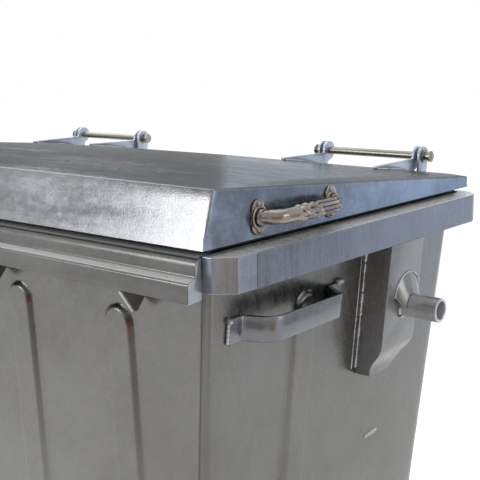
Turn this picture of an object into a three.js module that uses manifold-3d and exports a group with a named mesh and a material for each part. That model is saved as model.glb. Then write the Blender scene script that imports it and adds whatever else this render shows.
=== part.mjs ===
// A four-wheeled galvanized steel waste container with a hinged sheet-steel lid, in millimetres.
// +Z is up, +X is the container's right side and -Y is its front, where the lifting comb hooks in.
// The origin is on the floor under the centre of the container.
import * as THREE from 'three';
import { mergeVertices } from 'three/addons/utils/BufferGeometryUtils.js';
import Module from 'manifold-3d';

const wasm = await Module();
wasm.setup();

// ---- Driving dimensions ----------------------------------------------------------------------
const CLEAR = 0.3; // gap left between touching pieces
const WELD_GAP = 0.3; // gap between welded sheet edges

// rim round the top of the body
const RIM_WIDTH = 1250;
const RIM_DEPTH = 735;
const RIM_HEIGHT = 48;
const RIM_SHEET = 3;
const RIM_REAR_RADIUS = 56;
const RIM_CHAMFER = 24; // each leg of the chamfered front corner
const RIM_CORNER_RUN = 61.5; // how far the front corner piece reaches along the side

// lifting rail across the front
const COMB_END_INSET = 40;
const COMB_UPPER_PROUD = 12.7;
const COMB_LOWER_PROUD = 27;
const COMB_SHOULDER_DROP = 4.6;
const COMB_UPPER_BAND = 21.7;
const COMB_LEDGE_DROP = 4.7;
const COMB_LOWER_BAND = 26.5;
const GUSSET_OFFSETS = [-460, -155, 155, 460];
const GUSSET_SHEET = 4;
const GUSSET_DROP = 35; // rail's lower edge to the gusset's tip
const GUSSET_TIP = 6;
const GUSSET_TIP_SETBACK = 30;
const GUSSET_WALL_DROP = 18;

// body of thin sheet, narrower at the bottom
const WALL_SHEET = 2;
const WALL_INSET_SIDE = 46;
const WALL_INSET_FRONT = 20;
const WALL_INSET_REAR = 20;
const TAPER_SIDE = 0.09; // inward lean of a side wall, per unit of height
const TAPER_FRONT = 0.05;
const WALL_FRONT_RADIUS = 11;
const WALL_REAR_RADIUS = 50;
const BODY_HEIGHT = 985; // floor pan underside to rim top
const FLOOR_SHEET = 2.5;
const CORNER_STEPS = 6; // facets of each rounded corner, alike in the walls and the rim

// pressed ribs
const RIB_WIDTH = 60;
const RIB_CROWN = 42; // width of the flat on top of a rib
const RIB_HEIGHT = 7;
const RIB_TOP_DROP = 45; // rim underside to the round top of a rib
const RIB_FOOT_RISE = 70; // floor pan to the round foot of a rib
const FRONT_RIB_OFFSETS = [-406, -184, 184, 406];
const SIDE_RIB_FROM_FRONT = 241;
const RIB_STEPS = 6;

// trunnions, on which a lorry's arms lift the container
const TRUNNION_FROM_FRONT = 468;
const TRUNNION_DROP = 109; // below the rim's underside
const TRUNNION_RADIUS = 20;
const TRUNNION_BORE = 15;
const TRUNNION_REACH = 55; // beyond the rim's side
const TRUNNION_TAIL = 24; // tube inside the bracket
const BRACKET_FRONT = 404;
const BRACKET_REAR = 508;
const BRACKET_SHEET = 4;
const BRACKET_LENGTH = 222;
const BRACKET_SWEEP = 60; // radius of the bracket's lower rear corner
const BRACKET_FOOT = 29; // wall to the bracket's outer plate, at its lower edge
const BRACKET_BEND_TOP = 52; // height of the bend above the lower edge
const BRACKET_BEND_FOOT = 8; // height of the upright edge under the bend
const BRACKET_STEPS = 8;
const TRUNNION_SIDES = 24;
const HOOD_BASE_RADIUS = 38;
const HOOD_RISE = 18; // trunnion axis to the middle of the hood's base
const HOOD_TIP_RADIUS = 24;
const HOOD_SHEET = 3.5;
const HOOD_REACH = 5;

// strap handles on the side walls
const STRAP_HEIGHT = 37;
const STRAP_SHEET = 5;
const STRAP_DROP = 49; // rim underside to the strap's top edge
const STRAP_FOOT_FRONT = 62;
const STRAP_RISE_FRONT = 90; // where the front foot turns out from the wall
const STRAP_BOW_FRONT = 105;
const STRAP_BOW_REAR = 270;
const STRAP_RISE_REAR = 300;
const STRAP_FOOT_REAR = 330;
const STRAP_FOOT_BEND = 8;
const STRAP_FRONT_BEND = 30;
const STRAP_REAR_BEND = 14;
const STRAP_INSET = 3; // strap's outer face behind the rim's side
const STRAP_STEPS = 7;

// lid pan
const LID_GAP = 9.6; // rim top to the lid's lower edge
const LID_SIDE_INSET = 26.5;
const LID_FRONT_OVERHANG = 13;
const LID_FRONT_LEAN = 22; // how far the front skirt leans back
const LID_REAR_INSET = 17.6;
const LID_FRONT_HEIGHT = 74.7;
const LID_REAR_HEIGHT = 19.4;
const LID_CROWN = 16;
const LID_SHEET = 2;
const SEAL_WIDTH = 11;
const SEAL_TOP = 17; // height of the seal above the rim top
const SEAL_FRONT_SETBACK = 2;
const LID_STEPS_ACROSS = 10;
const LID_STEPS_DEEP = 6;

// hinges
const PIN_BEHIND_RIM = 10;
const PIN_ABOVE_RIM = 57;
const PIN_RADIUS = 6;
const PIN_CLEARANCE = 0.3;
const PIN_HEAD_RADIUS = 9.5;
const PIN_HEAD_LENGTH = 4;
const EAR_RADIUS = 22;
const EAR_FACET = 15; // degrees turned by each facet of a round ear
const PIN_SIDES = 12;
const ARM_INSETS = [349, 145]; // rim's side to the arm centres
const ARM_SHEET = 6;
const ARM_REACH = 160; // pin axis to the arm's tip
const ARM_TIP_HEIGHT = 5;
const ARM_SHOULDER = 4; // arm's upper edge below the pin axis, near the ear
const ARM_HEEL = 6; // arm's lower rear corner ahead of the lid's rear edge
const PLATE_SHEET = 5;
const PLATE_SPACING = 12; // arm centre to plate centre
const PLATE_FRONT = 23; // plate's front edge ahead of the pin axis
const PLATE_STEP = 4; // step over the rim's rear edge
const WEB_SHEET = 5;

// ornate bow handles on the lid's side skirts
const PULL_FRONT = 95.6;
const PULL_REAR = 265.6;
const PULL_ABOVE_RIM = 38;
const PULL_BAR_RADIUS = 8.5;
const PULL_PROJECTION = 21;
const PULL_ROSE_HEIGHT = 46;
const PULL_ROSE_WIDTH = 32;
const PULL_ROSE_SHEET = 3;
const PULL_STEPS = 5;
const PULL_SIDES = 12;

// chassis
const CHANNEL_HEIGHT = 30;
const CHANNEL_WIDTH = 90;
const CHANNEL_SHEET = 3;
const CHANNEL_END_INSET = 34.67; // channel's end inside the floor pan's side
const CASTOR_INSET_X = 109.67; // swivel axis inside the floor pan's side
const CASTOR_INSET_Y = 110.65; // swivel axis inside the floor pan's front or rear edge
const WHEEL_RADIUS = 100;
const TYRE_WIDTH = 50;
const TYRE_BORE = 74;
const TYRE_SHOULDER = 8;
const WHEEL_SIDES = 24;
const HUB_WIDTH = 58;
const HUB_BOSS_RADIUS = 20;
const HUB_WEB = 34;
const HUB_RIM_WIDTH = 44;
const HUB_RIM_SHEET = 8;
const HUB_SIDES = 16;
const AXLE_RADIUS = 8;
const AXLE_HEAD_RADIUS = 13;
const AXLE_HEAD = 8;
const CASTOR_TRAIL = 55;
const PLATE_LENGTH = 138;
const PLATE_BREADTH = 110;
const CASTOR_PLATE = 5;
const RACE_RADIUS = 41;
const RACE_HEIGHT = 18;
const FORK_SHEET = 5;
const FORK_GAP = 4; // hub end to fork leg
const FORK_ABOVE_TYRE = 7;
const FORK_WAIST = 34; // axle to the lobe that carries the pedal
const FORK_STEPS = 8;
const PEDAL_CLEARANCE = 6; // tyre to the pedal's barrel
const PEDAL_ANGLE = 50; // above the horizontal, from the axle
const PEDAL_LENGTH = 62;
const PEDAL_SHEET = 5;
const PEDAL_BARREL = 8;
const PEDAL_PIN = 4;

// ---- Places worked out from them ---------------------------------------------------------------
const CROWN_BOTTOM = WHEEL_RADIUS * 2 + FORK_ABOVE_TYRE;
const CROWN_TOP = CROWN_BOTTOM + FORK_SHEET;
const PLATE_Z = CROWN_TOP + RACE_HEIGHT;
const CASTOR_HEIGHT = PLATE_Z + CASTOR_PLATE;
const RIM_TOP = CASTOR_HEIGHT + CHANNEL_HEIGHT + BODY_HEIGHT;
const RIM_BOTTOM = RIM_TOP - RIM_HEIGHT;
const FLOOR_Z = RIM_TOP - BODY_HEIGHT;
const HALF_WIDTH = RIM_WIDTH / 2;
const TOTAL_DEPTH = COMB_LOWER_PROUD + RIM_DEPTH + PIN_BEHIND_RIM + EAR_RADIUS;
const RIM_FRONT_Y = COMB_LOWER_PROUD - TOTAL_DEPTH / 2;
const RIM_REAR_Y = RIM_FRONT_Y + RIM_DEPTH;
const PIN_Y = RIM_REAR_Y + PIN_BEHIND_RIM;
const PIN_Z = RIM_TOP + PIN_ABOVE_RIM;
const TRUNNION_Y = RIM_FRONT_Y + TRUNNION_FROM_FRONT;
const TRUNNION_Z = RIM_BOTTOM - TRUNNION_DROP;
const LID_BOTTOM = RIM_TOP + LID_GAP;
const LID_HALF = HALF_WIDTH - LID_SIDE_INSET;
const LID_FRONT_Y = RIM_FRONT_Y - LID_FRONT_OVERHANG;
const LID_REAR_Y = RIM_REAR_Y - LID_REAR_INSET;
const FULL_TURN = 2 * Math.PI;

// outer faces of the body at a height
const sideWallX = (z) => HALF_WIDTH - WALL_INSET_SIDE - TAPER_SIDE * (RIM_BOTTOM - z);
const frontWallY = (z) => RIM_FRONT_Y + WALL_INSET_FRONT + TAPER_FRONT * (RIM_BOTTOM - z);
const rearWallY = (z) => RIM_REAR_Y - WALL_INSET_REAR - TAPER_FRONT * (RIM_BOTTOM - z);

// the castors stand inside the floor pan's edges
const CASTOR_OFFSET_X = sideWallX(FLOOR_Z) - CASTOR_INSET_X;
const CASTOR_OFFSET_Y = (rearWallY(FLOOR_Z) - frontWallY(FLOOR_Z)) / 2 - CASTOR_INSET_Y;

// ---- Finishes ----------------------------------------------------------------------------------
const finish = (color, roughness, metalness) =>
  new THREE.MeshStandardMaterial({ color, roughness, metalness });
const zincSheet = finish(0x9b9a93, 0.4, 0.85);
const zincRim = finish(0x9aa1ab, 0.4, 0.85);
const zincLid = finish(0x8f99a8, 0.35, 0.85);
const plating = finish(0xc9bfb0, 0.15, 1.0);
const steel = finish(0x8d9095, 0.35, 0.9);
const rubber = finish(0x1b1b1c, 0.85, 0.0);
const hubPlastic = finish(0x3a3c3f, 0.6, 0.0);

// ---- Geometry helpers ----------------------------------------------------------------------------
const vec = (x, y, z) => new THREE.Vector3(x, y, z);

// Triangles with their shared corners joined, turned so that the faces point out.
function closedGeometry(positions) {
  const geometry = new THREE.BufferGeometry();
  geometry.setAttribute('position', new THREE.Float32BufferAttribute(positions, 3));
  return facingOut(mergeVertices(geometry, 1e-4));
}

function facingOut(geometry) {
  const p = geometry.getAttribute('position');
  const index = Array.from(geometry.getIndex().array);
  const a = new THREE.Vector3();
  const b = new THREE.Vector3();
  const c = new THREE.Vector3();
  let volume = 0;
  for (let i = 0; i < index.length; i += 3) {
    a.fromBufferAttribute(p, index[i]);
    b.fromBufferAttribute(p, index[i + 1]);
    c.fromBufferAttribute(p, index[i + 2]);
    volume += a.dot(b.cross(c));
  }
  if (volume < 0) {
    for (let i = 0; i < index.length; i += 3) {
      [index[i + 1], index[i + 2]] = [index[i + 2], index[i + 1]];
    }
    geometry.setIndex(index);
  }
  return geometry;
}

// A solid through a row of closed loops with the same number of corners.
// With ring true the last loop joins the first, and there are no end caps.
function loft(loops, ring = false) {
  const positions = [];
  const push = (...corners) => corners.forEach((v) => positions.push(v.x, v.y, v.z));
  const count = loops[0].length;
  const spans = ring ? loops.length : loops.length - 1;
  for (let s = 0; s < spans; s++) {
    const near = loops[s];
    const far = loops[(s + 1) % loops.length];
    for (let i = 0; i < count; i++) {
      const j = (i + 1) % count;
      push(near[i], near[j], far[j]);
      push(near[i], far[j], far[i]);
    }
  }
  if (!ring) {
    cap(loops[0], true, push);
    cap(loops[loops.length - 1], false, push);
  }
  return closedGeometry(positions);
}

// Triangles over one flat loop, seen along the loop's own normal.
function cap(loop, flip, push) {
  const normal = vec(0, 0, 0);
  loop.forEach((v, i) => {
    const w = loop[(i + 1) % loop.length];
    normal.x += (v.y - w.y) * (v.z + w.z);
    normal.y += (v.z - w.z) * (v.x + w.x);
    normal.z += (v.x - w.x) * (v.y + w.y);
  });
  normal.normalize();
  const helper = Math.abs(normal.z) < 0.9 ? vec(0, 0, 1) : vec(1, 0, 0);
  const right = helper.cross(normal).normalize();
  const up = normal.clone().cross(right);
  const flat = loop.map((v) => new THREE.Vector2(v.dot(right), v.dot(up)));
  THREE.ShapeUtils.triangulateShape(flat, []).forEach(([i, j, k]) => {
    if (flip) push(loop[k], loop[j], loop[i]);
    else push(loop[i], loop[j], loop[k]);
  });
}

// Prisms of a flat outline along each axis.
const prismX = (outline, x0, x1) => loft([x0, x1].map((x) => outline.map(([y, z]) => vec(x, y, z))));
const prismY = (outline, y0, y1) => loft([y0, y1].map((y) => outline.map(([x, z]) => vec(x, y, z))));
const prismZ = (outline, z0, z1) => loft([z0, z1].map((z) => outline.map(([x, y]) => vec(x, y, z))));
const block = (x0, x1, y0, y1, z0, z1) => prismZ([[x0, y0], [x1, y0], [x1, y1], [x0, y1]], z0, z1);

// The outline of a bent sheet: a line of points and the same line moved to its left by the thickness.
function sheetOutline(line, thickness) {
  const inner = line.map((point, i) => {
    const before = line[Math.max(i - 1, 0)];
    const after = line[Math.min(i + 1, line.length - 1)];
    const first = leftOf(i > 0 ? before : point, i > 0 ? point : after);
    const second = leftOf(i < line.length - 1 ? point : before, i < line.length - 1 ? after : point);
    const scale = thickness / (1 + first[0] * second[0] + first[1] * second[1]);
    return [point[0] + (first[0] + second[0]) * scale, point[1] + (first[1] + second[1]) * scale];
  });
  return [...line, ...inner.reverse()];
}

function leftOf(a, b) {
  const dx = b[0] - a[0];
  const dy = b[1] - a[1];
  const length = Math.hypot(dx, dy);
  return [-dy / length, dx / length];
}

// Points on an arc, from one angle to another in degrees.
function arc(cx, cy, radius, from, to, steps) {
  return Array.from({ length: steps + 1 }, (_, i) => {
    const angle = THREE.MathUtils.degToRad(from + ((to - from) * i) / steps);
    return [cx + radius * Math.cos(angle), cy + radius * Math.sin(angle)];
  });
}

// A line of [x, y, radius] corners with each corner that has a radius rounded.
function filleted(corners, steps) {
  return corners.flatMap(([x, y, radius], i) => {
    if (radius === 0) return [[x, y]];
    const into = leftOf(corners[i - 1], [x, y]);
    const out = leftOf([x, y], corners[i + 1]);
    const turn = Math.atan2(into[0] * out[1] - into[1] * out[0], into[0] * out[0] + into[1] * out[1]);
    const side = Math.sign(turn) * radius;
    const back = radius * Math.tan(Math.abs(turn) / 2);
    const centre = [x - into[1] * back + into[0] * side, y + into[0] * back + into[1] * side];
    return Array.from({ length: steps + 1 }, (_, k) => {
      const cos = Math.cos((turn * k) / steps);
      const sin = Math.sin((turn * k) / steps);
      return [
        centre[0] - side * (into[0] * cos - into[1] * sin),
        centre[1] - side * (into[0] * sin + into[1] * cos),
      ];
    });
  });
}

// A closed profile of [radius, along] points turned about an axis, which is X, Y or Z.
function turned(profile, axis, sides, phase = 0) {
  const loops = Array.from({ length: sides }, (_, i) => {
    const angle = phase + (FULL_TURN * i) / sides;
    const c = Math.cos(angle);
    const s = Math.sin(angle);
    return profile.map(([r, t]) => {
      if (axis === 'x') return vec(t, r * c, r * s);
      if (axis === 'y') return vec(r * s, t, r * c);
      return vec(r * c, r * s, t);
    });
  });
  return loft(loops, true);
}

// A solid of revolution that reaches its own axis, as a stack of discs.
function turnedSolid(profile, axis, sides) {
  const loops = profile.map(([r, t]) =>
    Array.from({ length: sides }, (_, i) => {
      const angle = (FULL_TURN * i) / sides;
      const c = r * Math.cos(angle);
      const s = r * Math.sin(angle);
      if (axis === 'x') return vec(t, c, s);
      if (axis === 'y') return vec(s, t, c);
      return vec(c, s, t);
    }));
  return loft(loops);
}

const moved = (geometry, x, y, z) => geometry.translate(x, y, z);

function mirrored(geometry) {
  const copy = geometry.clone();
  copy.scale(-1, 1, 1);
  return facingOut(copy);
}

// Joins and cuts.
function toSolid(geometry) {
  const vertProperties = new Float32Array(geometry.getAttribute('position').array);
  const triVerts = new Uint32Array(geometry.getIndex().array);
  return new wasm.Manifold(new wasm.Mesh({ numProp: 3, vertProperties, triVerts }));
}

function toGeometry(solid) {
  const mesh = solid.getMesh();
  const geometry = new THREE.BufferGeometry();
  geometry.setAttribute('position', new THREE.BufferAttribute(mesh.vertProperties, 3));
  geometry.setIndex(new THREE.BufferAttribute(mesh.triVerts, 1));
  return geometry;
}

function joined(first, ...others) {
  return toGeometry(others.reduce((solid, other) => solid.add(toSolid(other)), toSolid(first)));
}

function cut(first, ...tools) {
  return toGeometry(tools.reduce((solid, tool) => solid.subtract(toSolid(tool)), toSolid(first)));
}

function common(first, second) {
  return toGeometry(toSolid(first).intersect(toSolid(second)));
}

const container = new THREE.Group();

function addPiece(parent, name, geometry, material) {
  const flat = geometry.clone().toNonIndexed();
  flat.computeVertexNormals();
  const mesh = new THREE.Mesh(flat, material);
  mesh.name = name;
  parent.add(mesh);
  return mesh;
}

// The right-hand piece and its mirror image.
function addPair(parent, name, geometry, material) {
  addPiece(parent, `${name}_right`, geometry, material);
  addPiece(parent, `${name}_left`, mirrored(geometry), material);
}

// ---- Body ----------------------------------------------------------------------------------------
// A pressed rib in its wall's own axes: x along the wall, y up the wall and z outward.
function ribShape(length, width, crown, bottom, top) {
  const outline = (w) => [
    ...arc(0, length / 2 - RIB_WIDTH / 2, w / 2, 0, 180, RIB_STEPS),
    ...arc(0, -length / 2 + RIB_WIDTH / 2, w / 2, 180, 360, RIB_STEPS),
  ];
  return loft([
    outline(width).map(([x, y]) => vec(x, y, bottom)),
    outline(width).map(([x, y]) => vec(x, y, 0)),
    outline(crown).map(([x, y]) => vec(x, y, top)),
  ]);
}

// Presses ribs into a wall. Each place is the rib's middle, with the wall's directions there.
function withRibs(wall, places, length) {
  let sheet = wall;
  places.forEach((basis) => {
    const outer = ribShape(length, RIB_WIDTH, RIB_CROWN, -WALL_SHEET / 2, RIB_HEIGHT);
    const inner = ribShape(
      length - WALL_SHEET, RIB_WIDTH - WALL_SHEET, RIB_CROWN - WALL_SHEET, -WALL_SHEET, RIB_HEIGHT);
    inner.translate(0, 0, -WALL_SHEET);
    outer.applyMatrix4(basis);
    inner.applyMatrix4(basis);
    sheet = cut(joined(sheet, facingOut(outer)), facingOut(inner));
  });
  return sheet;
}

// Directions of a leaning wall: along it, up its slope and outward.
function wallBasis(along, outward, lean, middle) {
  const tilt = Math.atan(lean);
  const up = vec(0, 0, Math.cos(tilt)).addScaledVector(outward, Math.sin(tilt));
  const out = outward.clone().multiplyScalar(Math.cos(tilt)).add(vec(0, 0, -Math.sin(tilt)));
  return new THREE.Matrix4().makeBasis(along, up, out).setPosition(middle);
}

const RIB_LENGTH = RIM_BOTTOM - RIB_TOP_DROP - (FLOOR_Z + RIB_FOOT_RISE);
const RIB_MIDDLE_Z = FLOOR_Z + RIB_FOOT_RISE + RIB_LENGTH / 2;

// A side wall with the body's rounded corners bent into its ends.
function sideWall() {
  const loopAt = (z) => {
    const x = sideWallX(z);
    const front = frontWallY(z);
    const rear = rearWallY(z);
    const corner = (radius, y, inset, from) =>
      arc(x - radius, y, radius - inset, from, from + 90, CORNER_STEPS);
    const path = (inset) => [
      ...corner(WALL_FRONT_RADIUS, front + WALL_FRONT_RADIUS, inset, -90),
      ...corner(WALL_REAR_RADIUS, rear - WALL_REAR_RADIUS, inset, 0),
    ];
    return [...path(0), ...path(WALL_SHEET).reverse()].map(([px, py]) => vec(px, py, z));
  };
  const middle = vec(sideWallX(RIB_MIDDLE_Z), RIM_FRONT_Y + SIDE_RIB_FROM_FRONT, RIB_MIDDLE_Z);
  const basis = wallBasis(vec(0, 1, 0), vec(1, 0, 0), TAPER_SIDE, middle);
  return withRibs(loft([loopAt(FLOOR_Z), loopAt(RIM_TOP)]), [basis], RIB_LENGTH);
}

// The front or rear wall, butted between the bent corners of the side walls.
function endWall(yAt, outward, cornerRadius) {
  const loopAt = (z) => {
    const half = sideWallX(z) - cornerRadius - WELD_GAP;
    const y = yAt(z);
    const inner = y - outward * WALL_SHEET;
    return [vec(-half, y, z), vec(half, y, z), vec(half, inner, z), vec(-half, inner, z)];
  };
  const places = FRONT_RIB_OFFSETS.map((x) => {
    const middle = vec(x, yAt(RIB_MIDDLE_Z), RIB_MIDDLE_Z);
    return wallBasis(vec(-outward, 0, 0), vec(0, outward, 0), TAPER_FRONT, middle);
  });
  return withRibs(loft([loopAt(FLOOR_Z), loopAt(RIM_TOP)]), places, RIB_LENGTH);
}

function floorPan() {
  const inset = WALL_SHEET + WELD_GAP;
  const z0 = FLOOR_Z;
  const z1 = FLOOR_Z + FLOOR_SHEET;
  const x = sideWallX(z0) - inset;
  const front = frontWallY(z1) + inset;
  const rear = rearWallY(z1) - inset;
  const radius = WALL_REAR_RADIUS - inset;
  const outline = [
    [-x, front + WALL_FRONT_RADIUS], [-x + WALL_FRONT_RADIUS, front],
    [x - WALL_FRONT_RADIUS, front], [x, front + WALL_FRONT_RADIUS],
    ...arc(x - radius, rear - radius, radius, 0, 90, CORNER_STEPS),
    ...arc(radius - x, rear - radius, radius, 90, 180, CORNER_STEPS),
  ];
  return prismZ(outline, z0, z1);
}

addPair(container, 'wall', sideWall(), zincSheet);
addPiece(container, 'wall_front', endWall(frontWallY, -1, WALL_FRONT_RADIUS), zincSheet);
addPiece(container, 'wall_rear', endWall(rearWallY, 1, WALL_REAR_RADIUS), zincSheet);
addPiece(container, 'floor_pan', floorPan(), zincSheet);

// ---- Rim -----------------------------------------------------------------------------------------
// Side rim: an angle of sheet along the side and round the rear corner.
function sideRim() {
  const x = HALF_WIDTH;
  const wallTop = sideWallX(RIM_TOP) + WELD_GAP;
  const rearTop = rearWallY(RIM_TOP) + WELD_GAP;
  const cornerX = x - RIM_REAR_RADIUS;
  const cornerY = RIM_REAR_Y - RIM_REAR_RADIUS;
  const wallX = sideWallX(RIM_TOP) - WALL_REAR_RADIUS;
  const wallY = rearWallY(RIM_TOP) - WALL_REAR_RADIUS;
  const angleLoop = (outer, leaf, inner) => [
    vec(...outer, RIM_BOTTOM), vec(...outer, RIM_TOP), vec(...inner, RIM_TOP),
    vec(...inner, RIM_TOP - RIM_SHEET), vec(...leaf, RIM_TOP - RIM_SHEET), vec(...leaf, RIM_BOTTOM),
  ];
  const start = RIM_FRONT_Y + RIM_CORNER_RUN + WELD_GAP;
  const outer = arc(cornerX, cornerY, RIM_REAR_RADIUS, 0, 90, CORNER_STEPS);
  const leaf = arc(cornerX, cornerY, RIM_REAR_RADIUS - RIM_SHEET, 0, 90, CORNER_STEPS);
  const inner = arc(wallX, wallY, WALL_REAR_RADIUS + WELD_GAP, 0, 90, CORNER_STEPS);
  return loft([
    angleLoop([x, start], [x - RIM_SHEET, start], [wallTop, start]),
    ...outer.map((point, i) => angleLoop(point, leaf[i], inner[i])),
    angleLoop([wallX, RIM_REAR_Y], [wallX, RIM_REAR_Y - RIM_SHEET], [wallX, rearTop]),
  ]);
}

function rearRim() {
  const half = sideWallX(RIM_TOP) - WALL_REAR_RADIUS - WELD_GAP;
  const inner = rearWallY(RIM_TOP) + WELD_GAP;
  const line = [[RIM_REAR_Y, RIM_BOTTOM], [RIM_REAR_Y, RIM_TOP], [inner, RIM_TOP]];
  return prismX(sheetOutline(line, RIM_SHEET), -half, half);
}

// Front corner: a folded strip with a chamfer, closed by a plate on top.
function frontCorner() {
  const local = ([fromSide, fromFront]) => [HALF_WIDTH - fromSide, RIM_FRONT_Y + fromFront];
  const end = COMB_END_INSET - WELD_GAP;
  const face = [[end, 0], [RIM_CHAMFER, 0], [0, RIM_CHAMFER], [0, RIM_CORNER_RUN]];
  const wallSide = HALF_WIDTH - sideWallX(RIM_TOP) - WELD_GAP;
  const wallFront = WALL_INSET_FRONT + WALL_FRONT_RADIUS;
  const plate = [
    ...face, [wallSide, RIM_CORNER_RUN], [wallSide, wallFront],
    [end, WALL_INSET_FRONT - TAPER_FRONT * RIM_HEIGHT],
  ];
  return joined(
    prismZ(sheetOutline(face.map(local), RIM_SHEET), RIM_BOTTOM, RIM_TOP),
    prismZ(plate.map(local), RIM_TOP - RIM_SHEET, RIM_TOP));
}

// Lifting rail: one bent sheet with a sloping shoulder, an upper band, a ledge and a lower band.
const COMB_SHOULDER_Z = RIM_TOP - COMB_SHOULDER_DROP;
const COMB_UPPER_Z = COMB_SHOULDER_Z - COMB_UPPER_BAND;
const COMB_LEDGE_Z = COMB_UPPER_Z - COMB_LEDGE_DROP;
const COMB_BOTTOM_Z = COMB_LEDGE_Z - COMB_LOWER_BAND;
const COMB_FACE_Y = RIM_FRONT_Y - COMB_LOWER_PROUD;
const COMB_UPPER_Y = RIM_FRONT_Y - COMB_UPPER_PROUD;

function combRail() {
  const half = HALF_WIDTH - COMB_END_INSET;
  const wallY = frontWallY(RIM_TOP) - WELD_GAP;
  const face = [
    [wallY, RIM_TOP], [RIM_FRONT_Y, RIM_TOP], [COMB_UPPER_Y, COMB_SHOULDER_Z],
    [COMB_UPPER_Y, COMB_UPPER_Z], [COMB_FACE_Y, COMB_LEDGE_Z], [COMB_FACE_Y, COMB_BOTTOM_Z],
  ];
  const underside = RIM_TOP - RIM_SHEET;
  const filled = [...face, [RIM_FRONT_Y, COMB_BOTTOM_Z], [RIM_FRONT_Y, underside], [wallY, underside]];
  const lining = sheetOutline(face, RIM_SHEET).slice(face.length + 1, -1);
  const below = COMB_BOTTOM_Z - RIM_SHEET;
  const behind = RIM_FRONT_Y + RIM_SHEET;
  const pocket = [
    [COMB_FACE_Y + RIM_SHEET, below], ...lining, [behind, underside], [behind, below],
  ];
  return cut(prismX(filled, -half, half), prismX(pocket, RIM_SHEET - half, half - RIM_SHEET));
}

// Gusset inside the rail: a plate from the rail's lower band to the wall, with a pointed lower end.
function combGusset(x) {
  const front = COMB_FACE_Y + RIM_SHEET + CLEAR;
  const top = COMB_LEDGE_Z - RIM_SHEET - CLEAR;
  const tip = COMB_BOTTOM_Z - GUSSET_DROP;
  const tipY = COMB_FACE_Y + GUSSET_TIP_SETBACK;
  const wallLow = COMB_BOTTOM_Z - GUSSET_WALL_DROP;
  const outline = [
    [front, top], [front, COMB_BOTTOM_Z], [tipY - GUSSET_TIP / 2, tip], [tipY + GUSSET_TIP / 2, tip],
    [frontWallY(wallLow) - CLEAR, wallLow], [frontWallY(top) - CLEAR, top],
  ];
  return prismX(outline, x - GUSSET_SHEET / 2, x + GUSSET_SHEET / 2);
}

addPair(container, 'rim', sideRim(), zincRim);
addPiece(container, 'rim_rear', rearRim(), zincRim);
addPair(container, 'rim_front_corner', frontCorner(), zincRim);
addPiece(container, 'comb_rail', combRail(), zincRim);
GUSSET_OFFSETS.forEach((x, i) => addPiece(container, `comb_gusset_${i + 1}`, combGusset(x), zincRim));

// ---- Trunnions -------------------------------------------------------------------------------------
// The bracket's outer plate leans like the wall, then curves in to the wall at its foot.
const bracketFaceX = (z) => HALF_WIDTH - TAPER_SIDE * (RIM_BOTTOM - z);

// Welded box on the side wall, under the rim, open towards the wall.
function trunnionBracket() {
  const top = RIM_BOTTOM - WELD_GAP;
  const foot = top - BRACKET_LENGTH;
  const bendTop = foot + BRACKET_BEND_TOP;
  const sideView = (inset) => {
    const low = foot + inset * 2;
    const front = BRACKET_FRONT + inset;
    const rear = BRACKET_REAR - inset;
    const curve = arc(rear - BRACKET_SWEEP, low + BRACKET_SWEEP, BRACKET_SWEEP, 0, -90, BRACKET_STEPS);
    const outline = [[front, low], [front, top + inset], [rear, top + inset], ...curve];
    return outline.map(([s, z]) => [RIM_FRONT_Y + s, z]);
  };
  const wallX = (z) => sideWallX(z) + WELD_GAP;
  const endView = (inset) => {
    const reach = (z) => bracketFaceX(z) - inset;
    const low = foot + inset;
    const footX = wallX(foot) + BRACKET_FOOT - inset;
    const bend = Array.from({ length: BRACKET_STEPS + 1 }, (_, i) => {
      const t = i / BRACKET_STEPS;
      const z = bendTop + (foot + BRACKET_BEND_FOOT - bendTop) * t;
      return [reach(bendTop) + (footX - reach(bendTop)) * THREE.MathUtils.smoothstep(t, 0, 1), z];
    });
    const back = inset > 0 ? -BRACKET_SHEET : 0;
    return [
      [wallX(top + inset) + back, top + inset], [reach(top + inset), top + inset],
      ...bend, [footX, low], [wallX(low) + back, low],
    ];
  };
  const reachX = [sideWallX(foot) - BRACKET_SHEET * 2, HALF_WIDTH + BRACKET_SHEET];
  const reachY = [RIM_FRONT_Y + BRACKET_FRONT - BRACKET_SHEET, RIM_FRONT_Y + BRACKET_REAR + BRACKET_SHEET];
  const outer = common(prismX(sideView(0), ...reachX), prismY(endView(0), ...reachY));
  const inner = common(
    prismX(sideView(BRACKET_SHEET), ...reachX), prismY(endView(BRACKET_SHEET), ...reachY));
  const hole = turnedSolid([
    [TRUNNION_RADIUS + CLEAR, HALF_WIDTH - TRUNNION_REACH],
    [TRUNNION_RADIUS + CLEAR, HALF_WIDTH + TRUNNION_REACH],
  ], 'x', TRUNNION_SIDES);
  return cut(outer, inner, moved(hole, 0, TRUNNION_Y, TRUNNION_Z));
}

function trunnionTube() {
  const from = bracketFaceX(TRUNNION_Z) - TRUNNION_TAIL;
  const to = HALF_WIDTH + TRUNNION_REACH;
  const ring = [[TRUNNION_BORE, from], [TRUNNION_RADIUS, from], [TRUNNION_RADIUS, to], [TRUNNION_BORE, to]];
  return moved(turned(ring, 'x', TRUNNION_SIDES), 0, TRUNNION_Y, TRUNNION_Z);
}

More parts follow.
